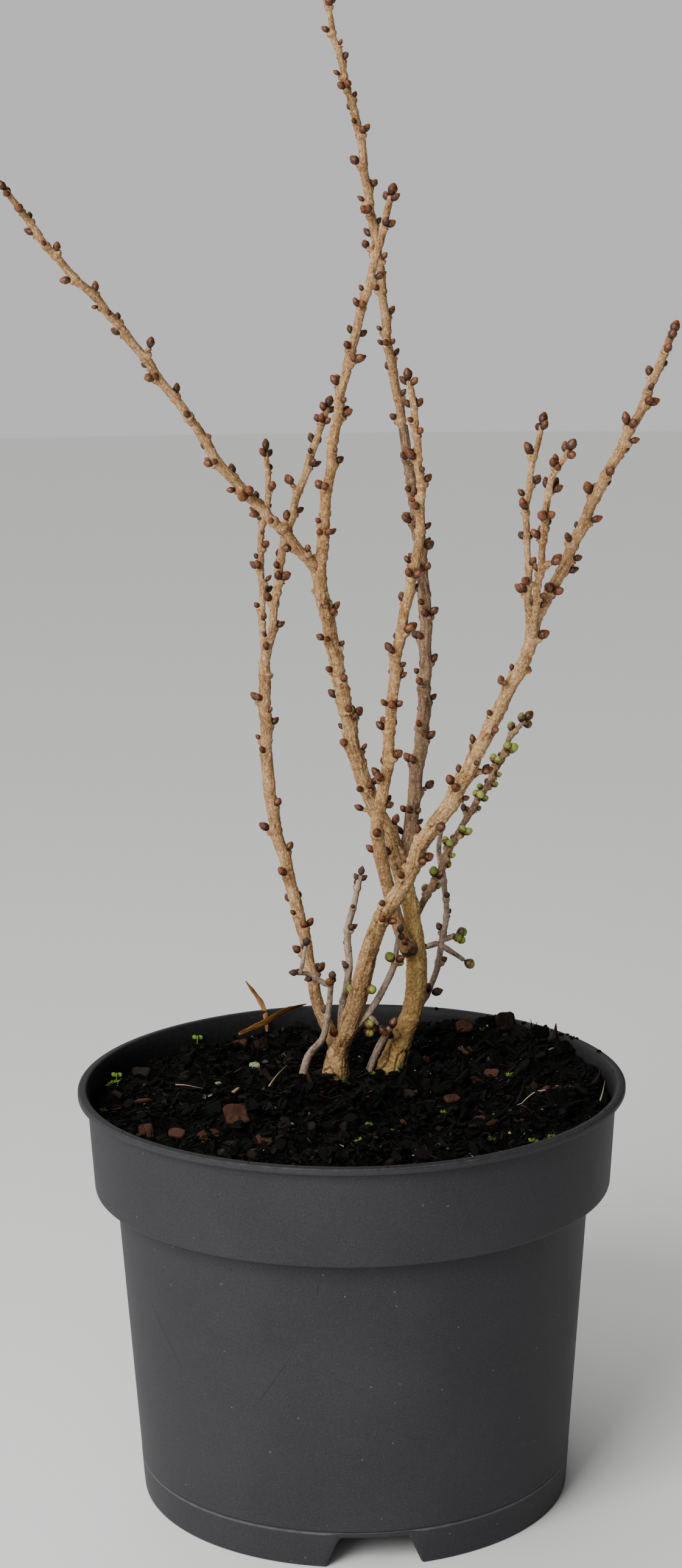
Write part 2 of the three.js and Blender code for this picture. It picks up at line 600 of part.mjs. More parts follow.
// Bark chips strewn over the compost, and two that stand against the wall at the back right.
function barkChips() {
  const chip = (x, y, lift, long, wide, thick, turn, tilt) => {
    const shape = new THREE.CylinderGeometry(0.5, 0.42, 1, 5);
    shape.scale(wide, thick, long);
    shape.rotateX(Math.PI / 2 + tilt);
    shape.rotateZ(turn);
    shape.translate(x, y, SOIL_LEVEL + soilBump(x, y) + lift);
    return solidFrom(shape);
  };
  const chips = [
    chip(-40, -20, 1.2, 12, 9, 3, 0.4, 0.2),
    chip(56, 55, 8, 16, 13, 3.5, 0.9, 1.35),
    chip(75, 34, 6, 12, 9, 3, 0.6, 1.3),
  ];
  const feet = LIMBS.filter((limb) => !limb.from).map((limb) => limb.course[0]);
  for (let i = 0; i < CHIP_COUNT; i++) {
    const turn = i * degrees(137.5);
    const radius = 22 + 52 * Math.sqrt(noise(i + 40));
    const [x, y] = [radius * Math.cos(turn), radius * Math.sin(turn)];
    const clear = feet.every(([footX, footY]) => Math.hypot(footX - x, footY - y) > CHIP_ROOM);
    if (!clear) continue;
    const long = 7 + 6 * noise(i + 60);
    chips.push(chip(x, y, 0.8, long, long * 0.65, 2.6, noise(i + 80) * 6.28, 0.5 * noise(i + 90) - 0.25));
  }
  return chips;
}

const plant = new THREE.Group();
function addPiece(name, colour, solid) {
  const piece = new THREE.Mesh(geometryFrom(solid), new THREE.MeshStandardMaterial(COLOURS[colour]));
  piece.name = name;
  plant.add(piece);
}

addPiece("pot", "pot", pot());
addPiece("potting_soil", "soil", pottingSoil());
for (const limb of LIMBS) addPiece(limb.name, limb.colour, growLimb(limb));

export default plant;
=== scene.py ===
"""The looks of a bare kojo-no-mai Fuji cherry in its nursery pot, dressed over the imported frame.

Lengths in the classes and tables are in millimetres, and a mesh is put into metres as it is made.
The pot stands on the floor with its axis at the origin, +Z is up and -Y is the front.
"""
import logging
import math
from collections.abc import Sequence
from dataclasses import dataclass, field
from enum import Enum
from functools import cached_property

import bpy
import numpy as np
from mathutils import Matrix, Vector


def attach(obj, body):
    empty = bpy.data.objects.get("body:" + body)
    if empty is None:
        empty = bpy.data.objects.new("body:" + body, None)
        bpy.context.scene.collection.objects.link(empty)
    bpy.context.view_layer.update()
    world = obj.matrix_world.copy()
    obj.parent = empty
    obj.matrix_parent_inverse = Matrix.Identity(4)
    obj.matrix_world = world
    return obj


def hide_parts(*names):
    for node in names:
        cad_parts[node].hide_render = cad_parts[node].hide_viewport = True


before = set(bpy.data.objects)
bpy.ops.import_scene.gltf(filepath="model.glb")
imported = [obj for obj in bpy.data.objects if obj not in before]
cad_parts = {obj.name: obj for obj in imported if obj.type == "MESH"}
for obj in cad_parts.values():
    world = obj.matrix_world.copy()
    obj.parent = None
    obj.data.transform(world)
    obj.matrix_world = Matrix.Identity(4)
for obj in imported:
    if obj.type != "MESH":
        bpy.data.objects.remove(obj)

log = logging.getLogger("fuji_cherry")
Array = np.ndarray
Row = tuple[float, ...]
Thing = bpy.types.Object
Tree = bpy.types.NodeTree
Node = bpy.types.Node
Source = Node | bpy.types.NodeSocket  # a node stands for its first output
MM = 0.001
BODY = "root"

# Sizes that the frame's solids have too
POT_HEIGHT = 147.0
SOIL_LEVEL = 138.0
GAP = 0.3
BUD_LONG = 3.7
BUD_ROOT = 0.9  # where a bud stands, as a share of its twig's radius
BUD_LEAN = math.radians(46)
BUD_TURN = math.radians(144)
PAIR_SPREAD = math.radians(56)
OUTER_BUD = 0.86  # the outer buds of three, against the middle one
NODE_SPACING = 8.9
SPREAD = 0.3  # how much bud sizes and spacings vary, about their mean
BARE_END = 3.0
SPUR_SHARE = 0.07
SPUR_RADIUS = 0.95
SPUR_RISE = 1.0
SPUR_OUT = 2.1
SPUR_CROWN = 1.45  # the radius of the room that a spur's end takes
TIP_BUD = 1.1
CROWD_BUD = 0.95
CROWD_DROP = 1.6
ZIGZAG = 0.35
BEND_BELOW = 2.7
ROOM = 0.9
LOWEST_BUD = SOIL_LEVEL + 4

# How the rule is carried on to finer buds here
PAIR_SHARE = 0.58
TRIPLE_SHARE = 0.24
FILL_SHARE = 0.5
FILL_SIZE = 0.74


def linear(colour: str) -> Row:
    """An sRGB colour such as #a08060 as linear red, green and blue, with an alpha of 1."""
    parts = [int(colour[i : i + 2], 16) / 255 for i in (1, 3, 5)]
    return (*(p / 12.92 if p <= 0.04045 else ((p + 0.055) / 1.055) ** 2.4 for p in parts), 1.0)


def noise(k: Array | float) -> Array | float:
    """A repeatable number from 0 to 1 for the number k: the fraction of a large sine."""
    wave = np.sin(np.asarray(k) * 12.9898) * 43758.5453
    return wave - np.floor(wave)


def varied(k: Array | float) -> Array | float:
    """A size that varies about 1 by the spread."""
    return 1 + SPREAD * (noise(k) - 0.5)


def circle(count: int) -> Array:
    """Angles that lie evenly round a circle."""
    return np.linspace(0, 2 * np.pi, count, endpoint=False)


def bell(x: Array, width: Array | float) -> Array:
    """A bell: 1 where x is 0, falling off as e to the minus square of x over its width."""
    return np.exp(-((x / width) ** 2))


def unit(vectors: Array) -> Array:
    """Vectors brought to a length of 1."""
    return vectors / np.linalg.norm(vectors, axis=-1, keepdims=True)


def hashed(cells: Array, seed: int) -> Array:
    """A random number from 0 to 1 for each whole-numbered cell, by mixing the cell's bits.

    Args:
        cells: Whole numbers, with x, y and z in the last axis.
        seed: Picks another set of random numbers.

    Returns:
        One number for each cell.
    """
    mixed = cells @ np.array([374761393, 668265263, 1274126177]) + seed * 144665
    mixed = (mixed ^ (mixed >> 13)) * 1274126177
    mixed = mixed ^ (mixed >> 16)
    return (mixed & 0xFFFFFF) / 0xFFFFFF


def cloud(points: Array, seed: int) -> Array:
    """Smooth noise: the random numbers of a unit cell's eight corners, mixed by smoothstep.

    Args:
        points: Places, with x, y and z in the last axis, counted in cells.
        seed: Picks another cloud.

    Returns:
        A number from 0 to 1 for each point.
    """
    base = np.floor(points).astype(np.int64)
    part = points - base
    ease = part * part * (3 - 2 * part)
    total = np.zeros(points.shape[:-1])
    for corner in np.ndindex(2, 2, 2):
        total += np.where(corner, ease, 1 - ease).prod(axis=-1) * hashed(base + np.array(corner), seed)
    return total


def layered(points: Array, seed: int, layers: int) -> Array:
    """Clouds laid over each other, each half as coarse and half as strong as the last."""
    total = sum(cloud(points * 2**i, seed + i) / 2**i for i in range(layers))
    return total / (2 - 2 ** (1 - layers))


@dataclass
class Shape:
    """A surface as whole arrays, in millimetres.

    Attributes:
        points: One row for each point.
        faces: Blocks of faces; each has one number of corners and one finish.
        finishes: For each block, the number of its finish.
        values: Named numbers or vectors at each point, for the finishes to read.
    """

    points: Array
    faces: list[Array]
    finishes: list[int]
    values: dict[str, Array] = field(default_factory=dict)

    def piece(self, name: str, slot: str, looks: "Sequence[Finish]", smooth: bool = True) -> Thing:
        """Makes the shape an object at the origin that rides on the plant's body, and reports it.

        Args:
            name: The object's name.
            slot: The record's material slot that it belongs to; not used.
            looks: Its finishes, by number.
            smooth: Whether its faces are shaded as one smooth surface.

        Returns:
            The new object, linked to the scene.
        """
        mesh = bpy.data.meshes.new(name)
        corners = [face for block in self.faces for face in block.tolist()]
        mesh.from_pydata((self.points * MM).tolist(), [], corners, shade_flat=not smooth)
        numbers = np.repeat(self.finishes, [len(block) for block in self.faces]).astype(np.int32)
        mesh.polygons.foreach_set("material_index", numbers)
        for key, value in self.values.items():
            kind, target = ("FLOAT", "value") if value.ndim == 1 else ("FLOAT_VECTOR", "vector")
            store = mesh.attributes.new(key, kind, "POINT")
            store.data.foreach_set(target, value.astype(np.float32).ravel())
        for finish in looks:
            mesh.materials.append(finish.material)
        thing = linked(name, mesh)
        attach(thing, BODY)
        triangles = sum(len(block) * (block.shape[1] - 2) for block in self.faces)
        log.info("%s: %d triangles", name, triangles)
        return thing


def linked(name: str, data: bpy.types.ID) -> Thing:
    """Puts a new object in the scene.

    Args:
        name: Its name.
        data: The mesh, camera or light that it holds.

    Returns:
        The object.
    """
    thing = bpy.data.objects.new(name, data)
    bpy.context.scene.collection.objects.link(thing)
    return thing


def joined(shapes: list[Shape]) -> Shape:
    """Joins several shapes.

    Args:
        shapes: Shapes with the same named values.

    Returns:
        All of them as one shape.
    """
    starts = np.cumsum([0] + [len(shape.points) for shape in shapes])
    faces = [block + start for shape, start in zip(shapes, starts) for block in shape.faces]
    finishes = [number for shape in shapes for number in shape.finishes]
    values = {key: np.concatenate([shape.values[key] for shape in shapes]) for key in shapes[0].values}
    return Shape(np.concatenate([shape.points for shape in shapes]), faces, finishes, values)


def skin(
    rings: Array,
    foot: Array | float,
    tip: Array | float,
    values: dict[str, Array] | None = None,
    bands: list[int] | None = None,
) -> Shape:
    """A closed surface through rings of points, with a point that closes each end.

    Neighbouring rings are joined by four-sided faces, and each end is closed by a fan of triangles.

    Args:
        rings: Ring by ring, the points round it, anticlockwise seen from the tip.
        foot: The point that closes the first ring, or its height on the z axis.
        tip: The point that closes the last ring, or its height.
        values: Named values at each point of the rings; an end's point takes the mean of its ring.
        bands: For each step from ring to ring, the number of its finish; all 0 if left out.

    Returns:
        The shape, with its faces pointing outwards.
    """
    count, round_ = rings.shape[:2]
    index = np.arange(count * round_).reshape(count, round_) + 1
    after = np.roll(index, -1, axis=1)
    walls = np.stack([index[:-1], after[:-1], after[1:], index[1:]], axis=-1)
    kinds = np.zeros(count - 1, int) if bands is None else np.array(bands)
    faces = [walls[kinds == kind].reshape(-1, 4) for kind in np.unique(kinds)]
    low = np.stack([after[0], index[0], np.zeros(round_, int)], axis=-1)
    high = np.stack([index[-1], after[-1], np.full(round_, count * round_ + 1)], axis=-1)
    spread = {}
    for key, value in (values or {}).items():
        flat = value.reshape(count * round_, *value.shape[2:])
        spread[key] = np.concatenate([value[0].mean(axis=0)[None], flat, value[-1].mean(axis=0)[None]])
    low_end, high_end = (end if np.ndim(end) else np.array([0, 0, end]) for end in (foot, tip))
    points = np.concatenate([low_end[None], rings.reshape(-1, 3), high_end[None]])
    numbers = [int(kind) for kind in (*np.unique(kinds), kinds[0], kinds[-1])]
    return Shape(points, [*faces, low, high], numbers, spread)


def copies(
    template: Shape, axes: Array, places: Array, own: dict[str, Array], finish: int | None = None
) -> Shape:
    """Many copies of a small shape as one: each point is turned and scaled by its copy's axes, then moved.

    Args:
        template: The small shape.
        axes: For each copy, the three vectors that the template's x, y and z become.
        places: For each copy, where its origin goes.
        own: Named values, one for each copy.
        finish: The number of the finish of all the copies; the template's own if left out.

    Returns:
        All the copies, with the template's values and their own.
    """
    count, size = len(places), len(template.points)
    points = np.einsum("pk,nkc->npc", template.points, axes) + places[:, None]
    starts = np.arange(count)[:, None, None] * size
    faces = [(block[None] + starts).reshape(-1, block.shape[1]) for block in template.faces]
    finishes = template.finishes if finish is None else [finish] * len(faces)
    values = {key: np.repeat(value, size, axis=0) for key, value in own.items()}
    return Shape(points.reshape(-1, 3), faces, finishes, values)


def lathe(radius: Array, turn: Array, height: Array | float) -> Array:
    """Points at a radius and a height, turned about z by each angle."""
    return np.stack([radius * np.cos(turn), radius * np.sin(turn), height + 0 * turn], axis=-1)


def spun(directions: Array, spins: Array) -> Array:
    """Three square axes for each of many copies.

    Args:
        directions: Where each copy's z points.
        spins: The angle that its x and y are turned about it.

    Returns:
        For each copy, its x, y and z.
    """
    z = unit(directions)
    helper = np.where(np.abs(z[:, 2:]) < 0.9, [[0.0, 0.0, 1.0]], [[1.0, 0.0, 0.0]])
    x = unit(np.cross(helper, z))
    y = np.cross(z, x)
    turn = np.asarray(spins)[:, None]
    return np.stack([x * np.cos(turn) + y * np.sin(turn), y * np.cos(turn) - x * np.sin(turn), z], axis=1)


def thread(places: Array, radii: Array, sides: int, finish: int = 0, shade: float = 0.6) -> Shape:
    """A thin round body along a path: a circle square to the path at each of its places.

    Args:
        places: The path.
        radii: The radius at each place.
        sides: How many points lie round it.
        finish: The number of its finish.
        shade: How light it is, from 0 to 1.

    Returns:
        The closed shape.
    """
    along = unit(np.gradient(places, axis=0))
    side = unit(np.cross([0.13, 0.97, 0.21], along))
    depth = np.cross(along, side)
    turn = circle(sides)[None, :, None]
    around = side[:, None] * np.cos(turn) + depth[:, None] * np.sin(turn)
    rings = places[:, None] + radii[:, None, None] * around
    shape = skin(rings, places[0], places[-1], bands=[finish] * (len(places) - 1))
    shape.values["shade"] = np.full(len(shape.points), shade)
    return shape


def span(first: float, last: float, low: float = 0.0, high: float = 1.0) -> dict:
    """The settings that carry the values from first to last over to those from low to high."""
    return {"From Min": first, "From Max": last, "To Min": low, "To Max": high}


def add(tree: Tree, kind: str, settings: dict | None = None, links: dict | None = None) -> Node:
    """Adds a node to a material.

    Args:
        tree: The material's tree.
        kind: The node's type, without its ShaderNode.
        settings: Values for its inputs, by name or number, or for its own settings; stops fills a ramp.
        links: Sources that feed its inputs, by name or number.

    Returns:
        The new node.
    """
    node = tree.nodes.new("ShaderNode" + kind)
    for key, value in (settings or {}).items():
        if key == "stops":
            ramp = node.color_ramp
            while len(ramp.elements) < len(value):
                ramp.elements.new(0.5)
            for element, (place, colour) in zip(ramp.elements, value):
                element.position = place
                element.color = linear(colour)
        elif isinstance(key, int) or key in node.inputs:
            node.inputs[key].default_value = value
        else:
            setattr(node, key, value)
    feed(node, {}, links or {})
    return node


def feed(node: Node, plain: dict, links: dict | None = None) -> None:
    """Sets a node's plain inputs and links its others.

    Args:
        node: The node.
        plain: Values, by the input's name or number.
        links: Sources, by the input's name or number.
    """
    for key, value in plain.items():
        node.inputs[key].default_value = value
    for key, source in (links or {}).items():
        socket = source.outputs[0] if isinstance(source, Node) else source
        node.id_data.links.new(socket, node.inputs[key])


def coated(tree: Tree, colour: Source, coats: tuple) -> Source:
    """Lays coats of colour over each other, each where a value lies between two bounds.

    Args:
        tree: The material's tree.
        colour: The colour under them.
        coats: For each, the value, where it starts and is full, how well it covers, and its colour.

    Returns:
        The colour with all the coats.
    """
    for value, first, last, most, tone in coats:
        share = add(tree, "MapRange", span(first, last, 0.0, most), {"Value": value})
        colour = add(tree, "Mix", {"data_type": "RGBA", 7: linear(tone)}, {0: share, 6: colour}).outputs[2]
    return colour


class Finish:
    """A surface finish: a material that is built once, however many pieces share it."""

    title: str

    @cached_property
    def material(self) -> bpy.types.Material:
        """The material, built the first time that a piece asks for it."""
        material = bpy.data.materials.new(self.title)
        material.use_nodes = True
        self.dress(material.node_tree, material.node_tree.nodes["Principled BSDF"])
        return material

    def dress(self, tree: Tree, shader: Node) -> None:
        """Gives a new material the finish.

        Args:
            tree: The material's tree, which takes the finish's nodes.
            shader: Its shader.
        """
        raise NotImplementedError


@dataclass(frozen=True)
class MouldedPolypropylene(Finish):
    """Recycled polypropylene, pigmented anthracite and injection-moulded in an eroded steel mould.

    It gives the eye a dull satin sheen over a fine mould grain, a few pale specks of filler, a pale
    line along the lip's edge and the groove that is rubbed wear and painted highlight, three thin
    scratches, and soil dust with painted shade that darkens the inside and the groove.
    """

    title: str = "moulded anthracite polypropylene"
    body: str = "#303033"
    faded: str = "#363639"
    speck: str = "#88888d"
    pit: str = "#1f1f22"
    grain: str = "#48484c"
    # Soil dust and painted shade, inside the pot and in the groove above the foot
    soiled_and_shaded: str = "#171615"
    # Rubbed wear and a painted highlight along the lip's outer edge and the groove
    rubbed_and_highlight: str = "#87878c"
    scratched: str = "#222225"
    cloud_mm: float = 42.0
    grain_mm: float = 0.45  # the real grain is half as coarse and wouldn't show
    speck_mm: float = 6.5
    # Each scratch: x and z of its middle, its turn and its length
    scratches: tuple[Row, ...] = (
        (-27.1, 66.4, 1.02, 24.0), (-11.8, 101.0, 1.5, 5.0), (-63.6, 72.7, -1.06, 28.0)
    )

    def dress(self, tree: Tree, shader: Node) -> None:
        """Gives the plastic clouds, grain, specks, scratches, wear with painted highlight, dust with painted
        shade.
        """
        place = add(tree, "TexCoord").outputs["Object"]
        clouds = add(tree, "TexNoise", {"Scale": 1 / (self.cloud_mm * MM), "Detail": 3.0}, {"Vector": place})
        stops = [(0.35, self.body), (0.7, self.faded)]
        colour = add(tree, "ValToRGB", {"stops": stops}, {"Fac": clouds})

        grain = add(tree, "TexNoise", {"Scale": 1 / (self.grain_mm * MM), "Detail": 2.0}, {"Vector": place})
        specks = add(tree, "TexVoronoi", {"Scale": 1 / (self.speck_mm * MM)}, {"Vector": place})
        # Soil dust and painted shade: darker in clumps all over the inside and along the groove
        dust = add(tree, "Attribute", {"attribute_name": "dust"}).outputs["Fac"]
        clods = add(tree, "TexNoise", {"Scale": 1 / (1.6 * MM), "Detail": 4.0}, {"Vector": place})
        clumped = add(tree, "MapRange", span(0.32, 0.6, 0.75), {"Value": clods})
        soil = add(tree, "Math", {"operation": "MULTIPLY"}, {0: dust, 1: clumped})
        # Rubbed wear and a painted highlight: a pale line along the lip's outer edge and the groove
        worn = add(tree, "Attribute", {"attribute_name": "worn"}).outputs["Fac"]
        colour = coated(tree, colour, (
            (grain, 0.52, 0.75, 0.45, self.pit),
            (grain, 0.48, 0.3, 0.3, self.grain),
            (specks, 0.055, 0.02, 0.45, self.speck),
            (worn, 0.0, 1.0, 0.6, self.rubbed_and_highlight),
            (soil, 0.0, 1.0, 1.0, self.soiled_and_shaded),
        ))
        colour = self.scored(tree, place, colour)

        relief = add(tree, "Bump", {"Strength": 0.25, "Distance": 0.06 * MM}, {"Height": grain})
        sheen = add(tree, "MapRange", span(0.3, 0.7, 0.52, 0.62), {"Value": clouds})
        patterns = {"Base Color": colour, "Roughness": sheen, "Normal": relief}
        feed(shader, {"IOR": 1.49, "Specular IOR Level": 0.15}, patterns)

    def scored(self, tree: Tree, place: Source, colour: Source) -> Source:
        """Darkens the single straight scratches on the front of the wall.

        Each is a line in the plane of x and z. The distance across it is turned into a thin dark line
        that ends where the distance along it passes half its length.

        Args:
            tree: The material's tree.
            place: Where a point of the surface is.
            colour: The colour so far.

        Returns:
            The colour with the scratches.
        """
        upright = {"vector_type": "TEXTURE", "Rotation": (math.pi / 2, 0.0, 0.0)}
        front = add(tree, "Mapping", upright, {"Vector": place})
        for x, z, turn, long in self.scratches:
            spot = {"vector_type": "TEXTURE", "Location": (x * MM, z * MM, 0), "Rotation": (0, 0, turn)}
            along = add(tree, "SeparateXYZ", {}, {0: add(tree, "Mapping", spot, {"Vector": front})})
            across = add(tree, "Math", {"operation": "ABSOLUTE"}, {0: along.outputs["Y"]})
            thin = add(tree, "MapRange", span(0.22 * MM, 0.1 * MM, 0.0, 0.7), {"Value": across})
            reach = add(tree, "Math", {"operation": "ABSOLUTE"}, {0: along.outputs["X"]})
            within = add(tree, "MapRange", span(0.5 * long * MM, 0.3 * long * MM), {"Value": reach})
            share = add(tree, "Math", {"operation": "MULTIPLY"}, {0: thin, 1: within})
            colour = coated(tree, colour, ((share, 0.0, 1.0, 1.0, self.scratched),))
        return colour


@dataclass(frozen=True)
class CherryBark(Finish):
    """Cherry bark: a thin corky skin that splits lengthwise as the wood swells.

    It gives the eye tans and browns with painted shade in the cracks and a painted highlight on the
    ridges, short lengthwise flecks, small paler pores, and a film of green algae low down.
    """

    title: str
    crack: str
    body: str
    ridge: str
    pore: str = "#e0c79c"
    fleck: str = "#54371f"
    algae: str = "#5d6226"
    fibre_mm: float = 0.35
    fleck_mm: float = 0.55
    blotch_mm: float = 7.0
    pore_mm: float = 2.2

    def dress(self, tree: Tree, shader: Node) -> None:
        """Gives a new material the bark's painted shade and highlight, flecks, pores and algae."""
        place = add(tree, "Attribute", {"attribute_name": "unrolled"}).outputs["Vector"]
        relief = add(tree, "Attribute", {"attribute_name": "relief"}).outputs["Fac"]
        algae = add(tree, "Attribute", {"attribute_name": "algae"}).outputs["Fac"]
        drawn = add(tree, "Mapping", {"Scale": (1.0, 1.0, 0.4)}, {"Vector": place})
        short = add(tree, "Mapping", {"Scale": (1.0, 1.0, 0.7)}, {"Vector": place})
        fine = {"Scale": 1 / (self.fibre_mm * MM), "Detail": 4.0, "Roughness": 0.6}
        fibres = add(tree, "TexNoise", fine, {"Vector": drawn})
        broad = {"Scale": 1 / (self.blotch_mm * MM), "Detail": 3.0}
        blotches = add(tree, "TexNoise", broad, {"Vector": place})
        level = relief
        for value, weight in ((fibres, 0.3), (blotches, 0.15)):
            shift = add(tree, "MapRange", span(0.25, 0.75, -weight, weight), {"Value": value})
            level = add(tree, "Math", {"operation": "ADD"}, {0: level, 1: shift})
        # Painted shade in the cracks and a painted highlight on the ridges: dark to light with the relief
        stops = [(0.08, self.crack), (0.42, self.body), (0.95, self.ridge)]
        colour = add(tree, "ValToRGB", {"stops": stops}, {"Fac": level})

        marks = {"Scale": 1 / (self.fleck_mm * MM), "Detail": 2.0}
        flecks = add(tree, "TexNoise", marks, {"Vector": short})
        pores = add(tree, "TexVoronoi", {"Scale": 1 / (self.pore_mm * MM)}, {"Vector": place})
        colour = coated(tree, colour, (
            (flecks, 0.58, 0.7, 0.55, self.fleck),
            (pores, 0.17, 0.1, 0.45, self.pore),
            (algae, 0.0, 1.0, 1.0, self.algae),
        ))

        bump = add(tree, "Bump", {"Strength": 0.8, "Distance": 0.2 * MM}, {"Height": fibres})
        plain = {"Roughness": 0.68, "Specular IOR Level": 0.3}
        feed(shader, plain, {"Base Color": colour, "Normal": bump})


@dataclass(frozen=True)
class Tone(Finish):
    """One tone of a natural thing, such as a bud's scale, a chip of bark or a leaf of moss.

    It gives the eye one base colour, because a pattern has no fixed place on pieces this small; each
    spray or bit is a little lighter or darker by its own shade.
    """

    title: str
    colour: str
    roughness: float = 0.6
    gloss: float = 0.4
    spread: float = 0.35

    def dress(self, tree: Tree, shader: Node) -> None:
        """Gives a new material the one colour, brighter or darker by each bit's shade."""
        shade = add(tree, "Attribute", {"attribute_name": "shade"}).outputs["Fac"]
        bright = add(tree, "MapRange", span(0.0, 1.0, 1 - self.spread, 1 + self.spread), {"Value": shade})
        tone = add(tree, "HueSaturation", {"Color": linear(self.colour)}, {"Value": bright})
        plain = {"Roughness": self.roughness, "Specular IOR Level": self.gloss}
        feed(shader, plain, {"Base Color": tone})


@dataclass(frozen=True)
class PottingCompost(Finish):
    """Potting compost: moist peat and shredded composted bark.

    It gives the eye a near-black crumbly bed, in which the crumbs shade each other's sheen.
    """

    title: str = "moist potting compost"
    dark: str = "#020201"
    body: str = "#050403"
    light: str = "#0e0b07"
    crumb_mm: float = 1.4

    def dress(self, tree: Tree, shader: Node) -> None:
        """Gives a new material the crumbs' colours and roughness."""
        place = add(tree, "TexCoord").outputs["Object"]
        stops = [(0.35, self.dark), (0.52, self.body), (0.72, self.light)]
        crumbs = add(tree, "TexNoise", {"Scale": 1 / (self.crumb_mm * MM), "Detail": 5.0}, {"Vector": place})
        colour = add(tree, "ValToRGB", {"stops": stops}, {"Fac": crumbs})
        bump = add(tree, "Bump", {"Strength": 0.9, "Distance": 0.5 * MM}, {"Height": crumbs})
        plain = {"Roughness": 0.9, "Specular IOR Level": 0.08}
        feed(shader, plain, {"Base Color": colour, "Normal": bump})


@dataclass(frozen=True)
class DryLeaf(Finish):
    """A dead grass blade, dried orange-brown: thin, with fine darker veins that run along it."""

    title: str = "dry blade"
    vein: str = "#42260e"
    body: str = "#7e5022"
    light: str = "#a97a3e"
    vein_mm: float = 0.5

    def dress(self, tree: Tree, shader: Node) -> None:
        """Gives a new material the veins, drawn out along the blade."""
        place = add(tree, "Attribute", {"attribute_name": "unrolled"}).outputs["Vector"]
        drawn = add(tree, "Mapping", {"Scale": (1.0, 1.0, 0.12)}, {"Vector": place})
        stops = [(0.32, self.vein), (0.5, self.body), (0.7, self.light)]
        veins = add(tree, "TexNoise", {"Scale": 1 / (self.vein_mm * MM), "Detail": 3.0}, {"Vector": drawn})
        colour = add(tree, "ValToRGB", {"stops": stops}, {"Fac": veins})
        bump = add(tree, "Bump", {"Strength": 0.5, "Distance": 0.15 * MM}, {"Height": veins})
        feed(shader, {"Roughness": 0.5}, {"Base Color": colour, "Normal": bump})


@dataclass(frozen=True)
class CherryGum(Finish):
    """Cherry gum: clear amber resin that has bled from the bark and set, olive-brown and wet-looking."""

    title: str = "cherry gum"
    colour: str = "#6a5424"

    def dress(self, tree: Tree, shader: Node) -> None:
        """Sets the gum's colour, its gloss and the light that goes through it."""
        clear = {"Roughness": 0.14, "IOR": 1.45, "Transmission Weight": 0.35}
        feed(shader, {"Base Color": linear(self.colour), **clear})


@dataclass(frozen=True)
class StudioFloor(Finish):
    """A matt white studio floor, plain paint with no pattern."""

    title: str = "studio floor"
    colour: str = "#fbfaf8"

    def dress(self, tree: Tree, shader: Node) -> None:
        """Sets the floor's colour and roughness."""
        feed(shader, {"Base Color": linear(self.colour), "Roughness": 0.9})


@dataclass(frozen=True)
class Relief:
    """How rough a bark is, in millimetres.

    It has rounded plates, a ridge high, wide across and long along the limb, with a grain of pebbles on
    them; then corky pores, and on an older stem long furrows.
    """

    ridge: float
    wide: float
    long: float
    pebble: float
    grain: float
    pore: float
    furrow: float = 0.0

    def height(self, unrolled: Array, seed: int) -> Array:
        """How far the bark stands out at each place of the unrolled limb.

        A cloud's distance from its middle level gives rounded plates with sharp cracks between them.
        A finer cloud adds grain, the tops of another one add pores, and a long one sinks the furrows.

        Args:
            unrolled: Places in millimetres: two across the limb and one along it.
            seed: Picks the limb's own pattern.

        Returns:
            Heights in millimetres, about a middle of 0.
        """
        bend = 0.7 * layered(unrolled / 3.0, seed + 9, 2)[..., None]
        plates = np.abs(2 * cloud(unrolled / (self.wide, self.wide, self.long) + bend, seed) - 1) ** 0.6
        fine = layered(unrolled / (self.grain, self.grain, 1.6 * self.grain), seed + 3, 2)
        pores = np.clip(cloud(unrolled / (0.9, 0.9, 0.7), seed + 5) - 0.76, 0, 1) / 0.24
        long = np.abs(2 * cloud(unrolled / (1.5, 1.5, 13.0) + 0.3 * bend, seed + 7) - 1)
        sunk = self.furrow * np.clip(1 - long / 0.24, 0, 1)
        return self.ridge * (plates - 0.6) + self.pebble * (fine - 0.5) + self.pore * pores - sunk


class Bark(Enum):
    """The barks of the plant, from the oldest wood to the youngest, each with its relief and colours."""

    TRUNK = (
        "old_bark",
        Relief(ridge=0.4, wide=1.4, long=1.1, pebble=0.32, grain=0.65, pore=0.2),
        CherryBark("old cherry bark", "#493416", "#a8834a", "#dcbd7c"),
    )
    OLD = (
        "old_bark",
        Relief(ridge=0.25, wide=0.95, long=1.5, pebble=0.24, grain=0.55, pore=0.32, furrow=0.24),
        CherryBark("ridged cherry bark", "#402813", "#9d774b", "#dfbf94"),
    )
    YOUNG = (
        "young_bark",
        Relief(ridge=0.19, wide=0.85, long=1.6, pebble=0.18, grain=0.55, pore=0.28, furrow=0.12),
        CherryBark("young cherry bark", "#482e17", "#98724a", "#debd90"),
    )
    PALE = (
        "pale_bark",
        Relief(ridge=0.16, wide=0.8, long=1.5, pebble=0.17, grain=0.55, pore=0.28),
        CherryBark("pale cherry bark", "#4a3017", "#9a7247", "#debb8a"),
    )
    GREY = (
        "grey_bark",
        Relief(ridge=0.16, wide=0.7, long=2.6, pebble=0.15, grain=0.6, pore=0.2, furrow=0.2),
        CherryBark("weathered cherry bark", "#38261a", "#7d6046", "#c3a47f", fleck="#43301c"),
    )
    SHOOT = (
        "grey_bark",
        Relief(ridge=0.1, wide=0.7, long=3.2, pebble=0.12, grain=0.6, pore=0.16, furrow=0.14),
        CherryBark("thin grey cherry bark", "#4c3b31", "#917c69", "#cbb8a2", "#d8c8b2", "#5a4638"),
    )

    def __init__(self, slot: str, relief: Relief, finish: CherryBark) -> None:
        """Keeps the record's material slot, how rough the bark is, and its colours."""
        self.slot, self.relief, self.finish = slot, relief, finish


